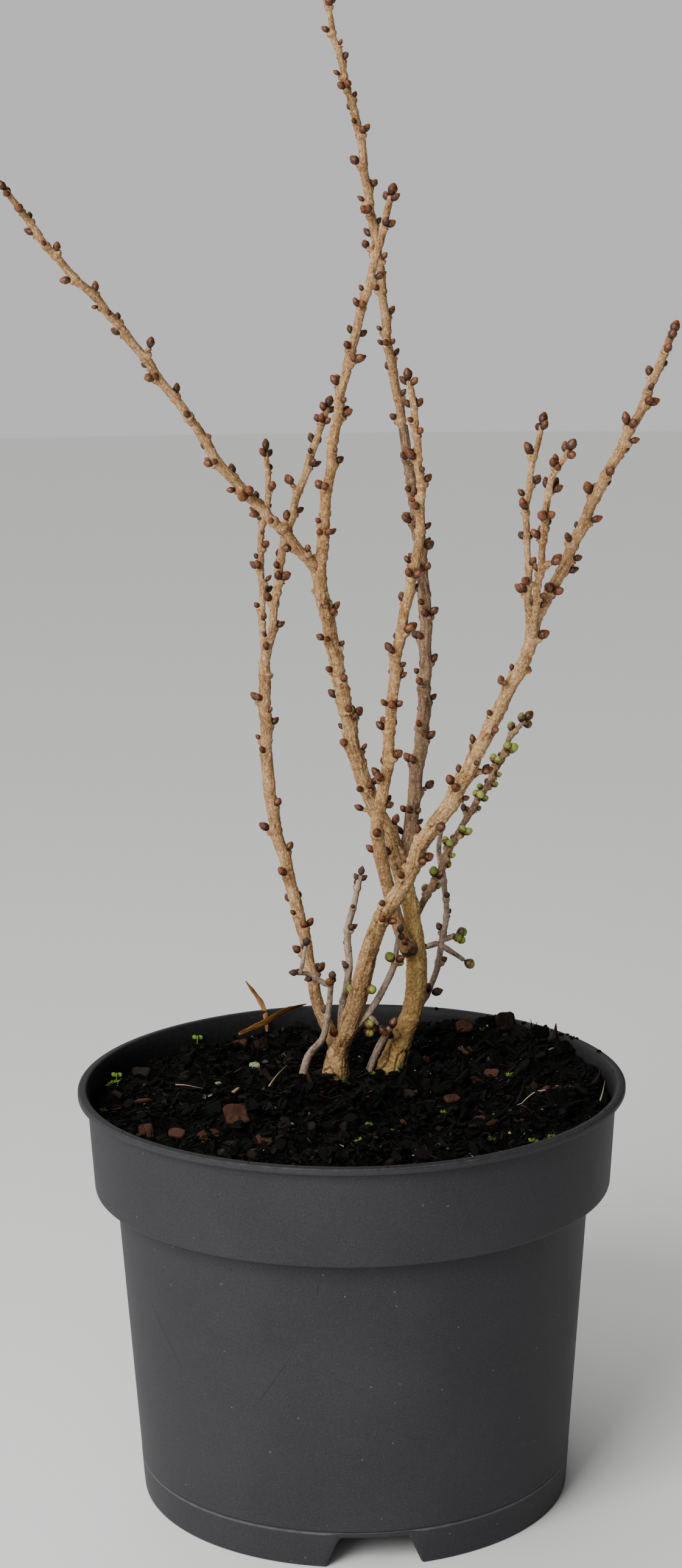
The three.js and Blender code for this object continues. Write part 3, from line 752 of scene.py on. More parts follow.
@dataclass(frozen=True)
class Station:
    """A limb's centre line at a whole array of distances from its foot."""

    place: Array
    along: Array
    side: Array
    depth: Array
    radius: Array

    def outward(self, turn: Array | float) -> Array:
        """The direction square to the limb, turned round it by an angle for each distance."""
        turn = np.asarray(turn)[..., None]
        return self.side * np.cos(turn) + self.depth * np.sin(turn)

    def leaning(self, turn: Array | float, lean: float) -> Array:
        """The direction that leans out from the limb by an angle."""
        return unit(self.outward(turn) * math.sin(lean) + self.along * math.cos(lean))


@dataclass(frozen=True)
class BudNode:
    """A place on a limb where buds stand side by side, on a short spur or straight on the bark.

    Its reach is the distance from the limb's foot, its turn the angle that they face, and its size is
    against the usual.
    """

    reach: float
    turn: float
    count: int
    size: float
    spur: bool = False


@dataclass(frozen=True)
class Limb:
    """One stem, bough, twig or shoot.

    Attributes:
        node: The frame's node that it belongs to.
        seed: Deals out its buds.
        course: Its foot, bends and tip: x, y, z and the radius there.
        first_bud: How far up it the buds begin; none if left out.
        tip_buds: How many buds crowd its end.
        spacing, bud_size: How far apart its buds stand and how large they are, against the usual.
        flare: How far the root flare spreads at its foot.
        heel: How much thicker it is where it leaves the limb that bears it.
        green, dry: The shares of its buds that are swelling, and that have dried up.
        knots: Swollen knots of gnarled bark: how far up, the angle round, the height and the spread.
        collar: How dark and ragged the bark is round its foot, from 0 to 1.
    """

    node: str
    seed: float
    bark: Bark
    course: tuple[Row, ...]
    first_bud: float | None = None
    tip_buds: int = 0
    spacing: float = 1.0
    flare: float = 0.0
    heel: float = 0.0
    green: float = 0.0
    bud_size: float = 1.0
    dry: float = 0.0
    knots: tuple[Row, ...] = ()
    collar: float = 0.0

    RING_STEP = 0.4
    COLUMN_STEP = 0.36
    FEWEST_SIDES = 14

    @cached_property
    def samples(self) -> tuple[Array, Array, Array, Array]:
        """The course as many close points: distances from the foot, places, tangents and radii.

        It is a centripetal Catmull-Rom spline: each stretch is a cubic whose end slopes come from the
        neighbouring points, weighed by the square roots of the distances between them. The radius
        runs evenly from each point to the next.

        Returns:
            The four arrays.
        """
        given = np.array(self.course, float)
        points = np.vstack([2 * given[0] - given[1], given, 2 * given[-1] - given[-2]])[:, :3]
        gaps = np.sqrt(np.linalg.norm(np.diff(points, axis=0), axis=1))
        t = np.linspace(0, 1, 100, endpoint=False)[:, None]
        places, slopes, radii = [], [], []
        for i in range(len(given) - 1):
            before, start, end, after = points[i : i + 4]
            d0, d1, d2 = gaps[i : i + 3]
            leave = d1 * ((start - before) / d0 - (end - before) / (d0 + d1) + (end - start) / d1)
            arrive = d1 * ((end - start) / d1 - (after - start) / (d1 + d2) + (after - end) / d2)
            square = 3 * (end - start) - 2 * leave - arrive
            cube = 2 * (start - end) + leave + arrive
            places.append(start + leave * t + square * t**2 + cube * t**3)
            slopes.append(leave + 2 * square * t + 3 * cube * t**2)
            radii.append(given[i, 3] + (given[i + 1, 3] - given[i, 3]) * t[:, 0])
        place = np.concatenate([*places, given[-1:, :3]])
        slope = np.concatenate([*slopes, arrive[None]])
        steps = np.linalg.norm(np.diff(place, axis=0), axis=1)
        reach = np.concatenate([[0], np.cumsum(steps)])
        return reach, place, unit(slope), np.concatenate([*radii, given[-1:, 3]])

    @property
    def long(self) -> float:
        """The limb's length."""
        return float(self.samples[0][-1])

    def at(self, distances: Array | float) -> Station:
        """The limb's centre line.

        Args:
            distances: How far from its foot.

        Returns:
            The centre line there.
        """
        reach, places, tangents, radii = self.samples
        wanted = np.atleast_1d(np.asarray(distances, float))
        place = np.stack([np.interp(wanted, reach, places[:, i]) for i in range(3)], axis=-1)
        along = unit(np.stack([np.interp(wanted, reach, tangents[:, i]) for i in range(3)], axis=-1))
        side = unit(np.cross([0.0, 1.0, 0.0], along))
        return Station(place, along, side, np.cross(along, side), np.interp(wanted, reach, radii))

    @cached_property
    def bud_nodes(self) -> list[BudNode]:
        """Where its buds stand: the frame's seeded rule, then a smaller node in some of the gaps.

        Buds follow each other at a spacing that varies by the seed, each turned two fifths of a turn
        on from the last. Some are pairs or triples, and a few stand on spurs.

        Returns:
            The nodes, from the foot up.
        """
        if self.first_bud is None:
            return []
        found = []
        reach, k = self.first_bud, 0
        while reach < self.long - BARE_END:
            roll = noise(self.seed + k * 1.7)
            count = 3 if roll < TRIPLE_SHARE else 2 if roll < PAIR_SHARE else 1
            turn = math.radians(self.seed * 97) + k * BUD_TURN
            size = float(varied(self.seed * 5 + k * 3.1))
            spur = bool(noise(self.seed * 3 + k * 2.3) < SPUR_SHARE)
            found.append(BudNode(reach, turn, count, size, spur))
            gap = NODE_SPACING * self.spacing * float(varied(self.seed * 7 + k))
            if noise(self.seed * 11 + k * 4.3) < FILL_SHARE and reach + gap < self.long - BARE_END:
                found.append(BudNode(reach + gap / 2, turn + 0.7 * BUD_TURN + math.pi, 1, size * FILL_SIZE))
            reach += gap
            k += 1
        return found

    def swelling(self, reach: Array, turn: Array) -> Array:
        """How far the wood swells at its bud nodes and knots.

        Under the buds a cushion rises slowly and ends in a steep ledge, on the side that they face. At
        some nodes a low ring goes round the limb, with a thin crease at its lower edge. A knot is a
        bump that falls off as a bell and is lumpy all over.

        Args:
            reach: One distance for each row.
            turn: One angle for each column.

        Returns:
            Heights in millimetres.
        """
        total = np.zeros((len(reach), turn.shape[1]))
        for number, node in enumerate(self.bud_nodes):
            above = (reach - node.reach)[:, None]
            facing = np.clip(np.cos(turn - node.turn), 0, 1)
            rise = bell(above + 0.2, np.where(above < -0.2, 1.7, 0.45))
            total += (0.95 * node.size * facing**4 + 0.16) * rise
            if noise(self.seed * 13 + number * 1.9) > 0.62:
                total += 0.32 * np.exp(-(((above + 0.9) / 0.9) ** 4)) * (0.5 + 0.5 * facing)
                total -= 0.28 * bell(above + 2.1, 0.35) * (0.4 + 0.6 * facing)
        for up, angle, height, spread in self.knots:
            across = self.at(up).radius * ((turn - angle + np.pi) % (2 * np.pi) - np.pi)
            total += height * np.exp(-(((reach[:, None] - up) / spread) ** 2) - (across / spread) ** 2)
        return total

    def wood(self, finish: int = 0) -> Shape:
        """The limb's bark as a closed tube with its relief.

        Rings square to the centre line stand 0.4 mm apart. Each point's distance from it is the radius,
        plus the root flare, the heel, the swellings of its nodes and knots, and the relief, which is
        rougher on a knot. The centre line kinks a little towards each bud. Past the end, the rings
        shrink as a dome.

        Args:
            finish: The number of its finish.

        Returns:
            The tube, with the values that its finish reads.
        """
        rings = max(4, round(self.long / self.RING_STEP))
        reach = np.linspace(0, self.long, rings)
        station = self.at(reach)
        widest = max(point[3] for point in self.course) + 0.5 * self.flare
        sides = max(self.FEWEST_SIDES, round(2 * math.pi * widest / self.COLUMN_STEP))
        turn = circle(sides)[None]
        rise = np.clip(station.place[:, 2] - SOIL_LEVEL, 0, None)[:, None]
        radius = station.radius[:, None] + self.flare * np.exp(-rise / 4) * (0.7 + 0.3 * np.cos(5 * turn))
        radius = radius + self.heel * bell(reach[:, None], 6)
        if station.place[0, 2] > SOIL_LEVEL and not self.collar:
            # The foot starts narrow inside the limb that bears it, so that no ring shows there
            radius = radius * (1 - 0.35 * bell(reach[:, None], 1.8))
        swelling = self.swelling(reach, turn)
        centre = station.place.copy()
        for node in self.bud_nodes:
            bend = ZIGZAG * bell(reach - node.reach + BEND_BELOW, 4)
            centre += bend[:, None] * station.outward(np.full(rings, node.turn))

        twist = turn + 0.015 * reach[:, None]
        around = station.radius[:, None]
        unrolled = lathe(around, twist, reach[:, None]) + 37.0 * noise(self.seed)
        seed = round(self.seed * 100)
        height = self.bark.relief.height(unrolled, seed)
        gnarled = np.clip(swelling, 0, 1.2) if self.knots else 0.0
        height = height * (1 + gnarled) + gnarled * (layered(unrolled / 1.6, seed + 41, 2) - 0.5)
        if self.flare:
            # Deep winding fissures at the foot of an old stem
            winding = layered(unrolled / (5.0, 5.0, 9.0), seed + 21, 2) - 0.5
            height = height - 0.85 * bell(winding, 0.035) * np.exp(-rise / 16)
        torn = 1.2 + 1.6 * layered(unrolled / 1.5, seed + 51, 1)
        ragged = self.collar * bell(reach[:, None], torn)
        height = height - ragged * (0.3 + 1.3 * (layered(unrolled / 1.3, seed + 61, 2) - 0.5))
        # The finish paints shade in the hollows and a highlight on the tops from this share of the relief
        depth_seen = 4.0 * self.bark.relief.ridge + 1.5 * self.bark.relief.furrow
        reliefs = np.clip(0.5 + height / depth_seen - ragged, 0, 1)
        mossy = layered(unrolled / 4.0, seed + 31, 2)
        algae = np.clip(0.9 * np.exp(-rise / 8) + mossy - 0.85, 0, 0.85) * (1.6 * self.flare > 1)
        algae = algae * np.clip(0.65 + 0.5 * np.cos(turn), 0, 1)

        wave, swing = np.cos(turn)[..., None], np.sin(turn)[..., None]
        outward = station.side[:, None] * wave + station.depth[:, None] * swing
        body = centre[:, None] + (radius + swelling + height)[..., None] * outward
        end, along, lift = body[-1], station.along[-1], 0.5 * float(station.radius[-1])
        caps = [(math.cos(a), lift * math.sin(a)) for a in (0.45, 0.85, 1.2)]
        closing = [centre[-1] + share * (end - centre[-1]) + up * along for share, up in caps]
        values = {"unrolled": unrolled * MM, "relief": reliefs, "algae": algae}
        values = {key: np.concatenate([value, value[[-1] * 3]]) for key, value in values.items()}
        bands = [finish] * (rings + 2)
        foot, tip = centre[0] - 0.4 * station.along[0], centre[-1] + along * lift
        return skin(np.concatenate([body, np.stack(closing)]), foot, tip, values, bands)


def shoot(*course: Row, **settings) -> dict:
    """One shoot's course and the settings that are its own."""
    return {"course": course, **settings}


def shoots(node: str, seed: float, bark: Bark, *parts: dict, **shared) -> list[Limb]:
    """A stem and its shoots, each with its own seed, on one node and with one bark and shared settings."""
    return [Limb(node, seed + 0.37 * i, bark, **(shared | part)) for i, part in enumerate(parts)]


# Each stem, bough and twig, on the courses that the frame's solids follow
IN_SOIL = SOIL_LEVEL - 3
LIMBS: list[Limb] = [
    *shoots("trunk_front", 1, Bark.OLD,
        shoot((-5.8, 32.2, IN_SOIL, 4.7), (-5.1, 31.6, 144, 4.2), (-4.2, 30.7, 149, 3.6),
        (-3.3, 29.9, 153.5, 2.2), flare=1.15),
        knots=((9, -1.2, 0.4, 3.0), (13, -2.4, 0.5, 2.6))),
    *shoots("trunk_back", 2, Bark.TRUNK,
        shoot((13.4, 41, IN_SOIL, 4.9), (18.3, 41, 149, 4.1), (22.5, 41, 160, 3.7), (24, 41, 173, 3.9),
        (23.5, 40, 185, 3.5), (22, 39, 197, 2.9), (18.5, 38, 213.5, 3.4), flare=1.15),
        knots=((72, -1.9, 0.9, 3.5), (66, -0.6, 0.7, 3.0), (45, -1.2, 0.5, 3.0))),
    *shoots("bough_right", 3, Bark.OLD,
        shoot((-5.5, 31.2, 141, 2.2), (-4.5, 30, 147.5, 3.3), (0.5, 26, 161.5, 3.6), (10, 10, 199.5, 3),
        (20, 3, 217.5, 2.7), (24.5, -2, 230.5, 2.8), (34.5, -9, 247, 2.8), (44, -18, 267.5, 2.5),
        (50.5, -25, 282.5, 2.3), (58.5, -34, 301, 2.2)),
        first_bud=68.7,
        knots=((13, -2.2, 0.5, 3.0), (17, -1.0, 0.4, 2.4), (23, -2.6, 0.5, 2.2), (47, -0.9, 0.4, 2.0))),
    *shoots("bough_left", 4, Bark.YOUNG,
        shoot((-4, 31, 147.5, 2.6), (-11.5, 33, 164.5, 2.2), (-16, 38, 187.5, 2.2), (-22, 44, 211.5, 2.2),
        (-27, 48, 231.5, 2.2), (-29, 53, 256.5, 2.2), (-29.5, 58, 285, 2.1)),
        first_bud=30, heel=0.6),
    *shoots("bough_front", 5, Bark.PALE,
        shoot((21.6, 37.6, 182.6, 2.5), (17.5, 33, 193.5, 2.4), (10.5, 21, 226.5, 2.3), (10, 18, 236, 2.3),
        (13, 15, 249.5, 2), (16.5, 8, 291, 1.9), (25, 4, 335.5, 1.6)),
        first_bud=44, heel=1.0, collar=1.0),
    *shoots("bough_middle", 6, Bark.OLD,
        shoot((18.5, 38, 212, 2.8), (15, 37, 225, 2.8), (8, 35, 239.5, 2.8), (3, 32, 254.5, 2.8),
        (-0.5, 28, 273, 2.6), (-9.5, 12, 323, 2.4)),
        first_bud=8, heel=0.5, knots=((4, -1.6, 0.9, 2.6), (8, -0.4, 0.6, 2.2))),
    *shoots("leader", 7, Bark.GREY,
        shoot((18.5, 38.5, 211, 2.7), (21.5, 40, 224.5, 2.5), (24, 42, 242.5, 2.5), (27, 45, 266, 2.4),
        (28, 48, 305, 2.2), (26, 48, 327.5, 2), (20.5, 43, 369.5, 1.7)),
        first_bud=6, heel=0.5),
    *shoots("bough_far_left", 8, Bark.YOUNG,
        shoot((-7.5, 14, 320, 1.9), (-17.5, 7, 334, 1.8), (-41.5, -3, 362, 1.7), (-49.5, -7, 375.5, 1.6)),
        first_bud=9, heel=0.5),
    *shoots("bough_inner", 9, Bark.PALE,
        shoot((-9, 12.5, 320, 2.1), (-7.5, 11, 336, 2), (-6.5, 10, 347.5, 1.8), (-3, 7, 373, 1.7)),
        first_bud=9, heel=0.3),
    *shoots("twigs_left", 10, Bark.YOUNG,
        shoot((-29.3, 58, 284, 1.7), (-26.5, 60, 296, 1.5), (-22, 65, 325.5, 1.5), (-6, 73, 373.5, 1.2),
        first_bud=5),
        shoot((-29, 58.3, 287.5, 1.3), (-30, 62, 297, 1.2), (-30, 67, 316, 1.2), (-30.5, 69, 325.5, 1.1),
        (-27.5, 73, 343, 1.1), (-28, 76, 357.5, 1), first_bud=12),
        tip_buds=3, heel=0.35),
    *shoots("twigs_right", 11, Bark.YOUNG,
        shoot((58, -33.6, 300, 2.1), (63, -38, 317.2, 1.9), (71, -43, 334, 1.9), (82, -46, 359.5, 1.7),
        (93, -45, 380, 1.5), (104, -42, 405.5, 1.2), first_bud=9),
        shoot((59.2, -34.6, 304, 1.3), (59.5, -30, 319.5, 1.2), (60, -18, 352, 1.1), (65, -10, 374, 0.9),
        first_bud=10),
        shoot((60, -36, 307, 1.3), (62, -52, 333, 1.2), (64, -66, 361, 1.1), (69, -73, 372, 0.9),
        first_bud=14),
        tip_buds=3, heel=0.3),
    *shoots("twigs_front", 12, Bark.PALE,
        shoot((24.9, 4.1, 334.5, 1.6), (25.5, 2, 346, 1.5), (22.5, -6, 384, 1.1), (21.5, -8, 389, 1)),
        first_bud=4, tip_buds=3, heel=0.1),
    *shoots("twigs_top", 13, Bark.YOUNG,
        shoot((20.6, 43.1, 368.5, 1.6), (15.3, 39, 399.5, 1.6), (13.5, 36, 418, 1.5), (8.5, 32, 452, 1.5),
        (6, 30, 470, 1.4), (2.5, 28, 483, 1.2), (-6, 25, 517.5, 0.9)),
        first_bud=4, tip_buds=3, heel=0.2, bud_size=0.92),
    *shoots("twigs_far_left", 14, Bark.YOUNG,
        shoot((-49.2, -6.8, 374.8, 1.6), (-59.5, -12, 390, 1.5), (-80.5, -20, 418.5, 1.4),
        (-90.5, -24, 429, 1.3), (-106.5, -31, 452, 1)),
        first_bud=5, tip_buds=3, heel=0.1, bud_size=0.88),
    *shoots("twigs_inner", 15, Bark.YOUNG,
        shoot((-3.1, 7.1, 372, 1.7), (-0.7, 5, 385.5, 1.6), (10, 2, 425.5, 1.4), (16, 4, 448.5, 1.1)),
        first_bud=5, tip_buds=3, heel=0.1),
    *shoots("twigs_green", 16, Bark.GREY,
        shoot((22.3, 39.5, 193, 1.4), (28, 48, 200.5, 1.3), (38, 56, 218.5, 1.2), (55, 66, 245, 1.1),
        (59, 69, 253.5, 1), (64.5, 72, 259.5, 0.9)),
        first_bud=14, tip_buds=3, spacing=0.75, heel=0.4, green=0.85),
    *shoots("twigs_grey", 17, Bark.SHOOT,
        shoot((22.5, 41, 158.5, 1.3), (28.5, 50, 164, 1.2), (35, 58, 188, 1.1), (35, 61, 201, 1.1),
        (33, 66, 213, 1), (34, 68, 221, 0.9), first_bud=11),
        shoot((33.3, 55.8, 180, 1), (41.5, 57, 174, 0.8), first_bud=9, tip_buds=1, green=1.0, dry=0),
        shoot((33.6, 56.2, 181.5, 1), (38.5, 58, 183, 0.9), first_bud=9, green=1.0, dry=0),
        shoot((33.2, 56, 181, 1), (27.5, 58, 178.5, 0.9), first_bud=9),
        tip_buds=2, spacing=1.3, heel=0.3, dry=0.45),
    *shoots("twigs_between", 18, Bark.SHOOT,
        shoot((1.5, 26, 158, 1.3), (6.5, 25, 163.5, 1.3), (14.5, 23, 179, 1.2), (17.5, 21, 193.5, 0.9),
        first_bud=30),
        shoot((6.3, 25, 163, 0.9), (9.5, 24, 159.5, 0.8), first_bud=9),
        tip_buds=2, heel=0.3, dry=0.5),
    *shoots("shoot_thin", 19, Bark.SHOOT,
        shoot((-3.2, 30.8, 149, 1.4), (-3, 31.5, 164, 1.4), (0, 31.5, 178, 1.3), (-1, 31, 191.5, 1.3),
        (1.5, 31, 200.5, 1.1), (4, 31, 212, 1.1)),
        first_bud=18, tip_buds=3, spacing=1.6, heel=0.3, dry=0.8),
    *shoots("shoot_low_left", 20, Bark.SHOOT,
        shoot((-18, 35, IN_SOIL, 1.5), (-15, 30, 146.5, 1.4), (-9.5, 24, 155.5, 1.2), (-6.5, 19, 177.5, 1),
        first_bud=34, tip_buds=3),
        shoot((-6.8, 19.2, 175, 0.9), (-14, 16, 180.5, 0.85), (-18, 14, 181.5, 0.85), first_bud=8),
        shoot((-17.3, 14.1, 181.3, 0.75), (-15.5, 14, 191, 0.65), first_bud=20),
        tip_buds=2, spacing=1.5, heel=0.15, dry=0.7),
    *shoots("shoot_low_right", 21, Bark.SHOOT,
        shoot((5.6, 39.2, IN_SOIL, 1.5), (10, 33, 148, 1.4), (14, 30, 156, 1.3)),
        first_bud=30, tip_buds=1),
]


class BudState(Enum):
    """How far a bud has come by the end of winter."""

    CLOSED = "winter_buds"
    SWELLING = "green_buds"
    DRY = "dry_buds"


@dataclass(frozen=True)
class Bud:
    """One bud: its limb's number, its root, direction, size, shade from 0 to 1, and state."""

    limb: int
    root: Array
    direction: Array
    size: float
    shade: float
    state: BudState


@dataclass(frozen=True)
class BudForm:
    """A bud as a closed surface of a few dozen faces, with its tiers of scales.

    Attributes:
        widest: How far up it is widest, as a share of its length.
        blunt: How full it is towards its tip; less is fuller.
        edges: How far up each tier of scales ends.
        waves, wave: How many times the edge of a tier rises and falls round the bud, and how far.
        proud: How far a scale's edge stands out, as a share of the radius.
    """

    long: float
    radius: float
    widest: float
    blunt: float
    edges: Row
    waves: int = 2
    wave: float = 0.08
    proud: float = 0.1

    SIDES = 9
    LOW, HIGH, EDGE, TOP = range(4)

    def shape(self) -> Shape:
        """The bud, with its root at the origin and its tip up.

        Its outline is half a sine wave, skewed so that it is widest where the form says. The edge of
        each tier is a wave round the bud, where the next ring steps inwards to the next tier.

        Returns:
            The closed surface; its bands are the low scales, the high ones, their edges and the top.
        """
        turn = circle(self.SIDES)
        first = self.edges[0] + self.wave * np.cos(self.waves * turn)
        second = self.edges[1] + self.wave * np.cos(self.waves * turn + (self.waves - 1) * np.pi)
        flat = np.ones(self.SIDES)
        rows = [
            (0.04 * flat, 0.95, self.LOW),
            (0.5 * first, 1.0, self.LOW),
            (first, 1 + self.proud, self.EDGE),
            (first + 0.03, 1.0, self.HIGH),
            ((first + second) / 2, 1.02, self.HIGH),
            (second, 1 + 0.8 * self.proud, self.EDGE),
            (second + 0.03, 0.96, self.TOP),
            ((second + 1.02) / 2, 0.95, self.TOP),
            (0.95 * flat, 1.0, self.TOP),
        ]
        share = np.stack([row[0] for row in rows])
        swell = np.array([row[1] for row in rows])[:, None]
        skew = math.log(0.5) / math.log(self.widest)
        radius = self.radius * swell * np.sin(np.pi * np.clip(share, 0, 0.985) ** skew) ** self.blunt
        bands = [row[2] for row in rows[:-1]]
        return skin(lathe(radius, turn, self.long * share), 0.0, self.long, bands=bands)


class Wood:
    """The stems, boughs and twigs: each frame node of a trunk, bough or shoot as its own bark mesh."""

    def __init__(self, limbs: list[Limb]) -> None:
        """Sorts the limbs by the node that they belong to."""
        self.nodes = {limb.node: [each for each in limbs if each.node == limb.node] for limb in limbs}
        self.finishes = [bark.finish for bark in Bark]

    @staticmethod
    def bark(limbs: list[Limb]) -> Shape:
        """The bark of several limbs as one shape, each with the number of its own finish."""
        return joined([limb.wood(list(Bark).index(limb.bark)) for limb in limbs])

    def build(self, spurs: list[Limb]) -> None:
        """Makes one piece for each trunk, bough and shoot, and one for the twigs of all the masses.

        Args:
            spurs: Short spurs that bear buds; each belongs to its limb's node.
        """
        twigs = []
        for node, limbs in self.nodes.items():
            grown = limbs + [spur for spur in spurs if spur.node == node]
            if node.startswith("twigs_"):
                twigs += grown
                continue
            piece = self.bark(grown).piece(f"bark_{node}", limbs[0].bark.slot, self.finishes)
            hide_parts(node)
        piece = self.bark(twigs).piece("twig_wood", "budded_twigs", self.finishes)
        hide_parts(*[node for node in self.nodes if node.startswith("twigs_")])


class Buds:
    """The winter buds, the swelling green ones and the leaf scars that they stand on."""

    FORMS = {
        BudState.CLOSED: BudForm(4.3, 1.42, widest=0.53, blunt=0.62, edges=(0.34, 0.62), proud=0.035),
        BudState.SWELLING: BudForm(4.1, 1.75, 0.58, 0.5, edges=(0.34, 0.6), waves=1, wave=0.13, proud=0.03),
        BudState.DRY: BudForm(3.1, 1.2, widest=0.45, blunt=0.7, edges=(0.3, 0.6), wave=0.1, proud=0.1),
    }
    DARK_SCALE = Tone("bud scale, dark brown", "#301b0e", 0.42, 0.35)
    # For each state, the low scales, the high ones, their edges and the top
    SCALES = {
        # Winter buds: dark low scales and a light top, partly their colour and partly painted shade and
        # highlight
        BudState.CLOSED: (
            DARK_SCALE,
            Tone("bud scale, red-brown", "#4d2a15", 0.38, 0.35),
            Tone("bud scale edge", "#180d07", 0.45),
            Tone("bud scale, light", "#673a1e", 0.36, 0.35),
        ),
        BudState.SWELLING: (
            DARK_SCALE,
            Tone("bud scale, greenish brown", "#6b5023", 0.4, 0.4),
            Tone("bud scale edge, brown", "#553618", 0.45),
            Tone("young bud green", "#83933a", 0.42, 0.4),
        ),
        BudState.DRY: (
            Tone("dry bud, dark", "#2b1c13", 0.7),
            Tone("dry bud, brown", "#432b1d", 0.7),
            Tone("dry bud edge", "#1c120b", 0.75),
            Tone("dry bud, grey-brown", "#513a29", 0.75),
        ),
    }
    SCARS = (
        Tone("leaf cushion", "#a37c50", 0.75, 0.3),
        Tone("leaf cushion edge", "#5b3f26", 0.8, 0.3),
        Tone("leaf scar", "#b08c60", 0.8, 0.3),
    )
    # Buds whose places show low on the stems: the node, the root, the direction, the size and the state
    PLACED = (
        ("bough_front", (19.6, 32.0, 187.6), (0.05, -0.95, 0.3), 1.15, BudState.CLOSED),
        ("bough_right", (5.9, 18.9, 174.2), (0.6, -0.75, 0.1), 1.1, BudState.SWELLING),
        ("bough_right", (4.6, 23.4, 158.9), (0.75, -0.45, 0.45), 1.1, BudState.SWELLING),
        ("bough_right", (4.6, 23.6, 157.6), (0.8, -0.5, -0.25), 1.0, BudState.SWELLING),
        ("trunk_front", (-5.6, 27.2, 154.0), (-0.2, -0.4, 0.9), 1.15, BudState.CLOSED),
        ("trunk_back", (15.6, 37.6, 150.6), (-0.75, -0.35, 0.5), 1.35, BudState.CLOSED),
        ("shoot_thin", (-0.6, 30.6, 168.2), (0.25, -0.55, 0.8), 1.35, BudState.SWELLING),
        ("twigs_between", (15.4, 21.8, 183.0), (-0.5, -0.3, 0.8), 1.1, BudState.SWELLING),
        ("twigs_between", (16.2, 22.0, 182.4), (0.85, -0.4, 0.25), 0.75, BudState.SWELLING),
        ("twigs_grey", (29.6, 49.8, 163.4), (0.9, -0.1, 0.3), 1.4, BudState.DRY),
        ("twigs_grey", (38.6, 57.8, 182.6), (0.8, -0.3, -0.4), 1.0, BudState.SWELLING),
    )

    # The bead of gum: its middle, its length, and its half width and depth
    GUM_PLACE, GUM_LONG, GUM_WIDE, GUM_DEEP = (13.6, 13.3, 260.6), 5.2, 1.75, 1.35

    def __init__(self, limbs: list[Limb]) -> None:
        """Deals out the buds by the seeded rule and keeps the ones that are free.

        Args:
            limbs: The limbs that bear them.
        """
        self.limbs = limbs
        self.spurs: list[Limb] = []
        self.scars: list[tuple[Array, Array, Array, float]] = []
        self.lines = [limb.at(np.linspace(0, limb.long, 1 + math.ceil(limb.long / 3))) for limb in limbs]
        self.kept: list[Bud] = []
        for number, limb in enumerate(limbs):
            self.grow(number, limb)
        nodes = [limb.node for limb in limbs]
        for node, root, direction, size, state in self.PLACED:
            way = unit(np.array(direction))
            self.kept.append(Bud(nodes.index(node), np.array(root), way, size, 0.5, state))

    def is_free(self, number: int, place: Array, reach: float) -> bool:
        """Whether there is room for a bud or a spur's crown.

        Args:
            number: The number of its limb.
            place: The middle of the ball that it fills.
            reach: The ball's radius.

        Returns:
            Whether the ball is clear of the compost, of every other node's limbs and of their buds.
        """
        if place[2] - reach < LOWEST_BUD:
            return False
        node = self.limbs[number].node
        for limb, line in zip(self.limbs, self.lines):
            if limb.node == node:
                continue
            if (np.linalg.norm(line.place - place, axis=1) < line.radius + reach + ROOM).any():
                return False
        others = [bud for bud in self.kept if self.limbs[bud.limb].node != node]
        if not others:
            return True
        places = np.array([bud.root + 0.5 * BUD_LONG * bud.size * bud.direction for bud in others])
        reaches = np.array([0.5 * BUD_LONG * bud.size for bud in others])
        return not (np.linalg.norm(places - place, axis=1) < reaches + reach + ROOM).any()

    def stand(self, number: int, root: Array, direction: Array, size: float, key: float) -> None:
        """Adds a bud where it is free.

        Args:
            number: The number of its limb.
            root: Where it stands.
            direction: Where it points.
            size: Its size, against the usual.
            key: Deals out its shade and its state.
        """
        size = size * self.limbs[number].bud_size
        if self.is_free(number, root + 0.5 * BUD_LONG * size * direction, 0.5 * BUD_LONG * size):
            roll, limb = noise(key * 1.3 + 5), self.limbs[number]
            swelling = BudState.SWELLING if roll < limb.green else BudState.CLOSED
            state = BudState.DRY if roll > 1 - limb.dry else swelling
            self.kept.append(Bud(number, root, direction, size, float(noise(key)), state))

    def grow(self, number: int, limb: Limb) -> None:
        """Adds a limb's buds and spurs: those along it, and the ones that crowd its end.

        Args:
            number: The number of the limb.
            limb: The limb.
        """
        for k, node in enumerate(limb.bud_nodes):
            station = limb.at(node.reach)
            place, along, radius = station.place[0], station.along[0], float(station.radius[0])
            out = station.outward(node.turn)[0]
            crown = place + out * radius * BUD_ROOT
            if node.spur:
                crown = crown + out * SPUR_OUT + along * SPUR_RISE
                if not self.is_free(number, crown, SPUR_CROWN):
                    continue
                halfway = 0.5 * (place + crown)
                course = ((*place, SPUR_RADIUS * 1.25), (*halfway, SPUR_RADIUS), (*crown, SPUR_RADIUS))
                self.spurs.append(Limb(limb.node, limb.seed + 0.01 * k, limb.bark, course))
            else:
                self.scars.append((crown, out, along, node.size * limb.bud_size))
            for j in range(node.count):
                aside = j - (node.count - 1) / 2
                turn = node.turn + aside * PAIR_SPREAD
                foot = crown if node.spur else place + station.outward(turn)[0] * radius * BUD_ROOT
                size = node.size * (OUTER_BUD if abs(aside) == 1 else 1.0)
                direction = station.leaning(turn, BUD_LEAN)[0]
                self.stand(number, foot, direction, size, limb.seed * 7 + k * 3.7 + j)
        end = limb.at(limb.long)
        for j in range(limb.tip_buds):
            lean = BUD_LEAN if j else 0.0
            direction = end.leaning(limb.seed + j * 2 * math.pi / max(limb.tip_buds - 1, 1), lean)[0]
            root = end.place[0] - (CROWD_DROP if j else 0) * end.along[0] + 0.4 * direction
            self.stand(number, root, direction, CROWD_BUD if j else TIP_BUD, limb.seed * 5 + j)

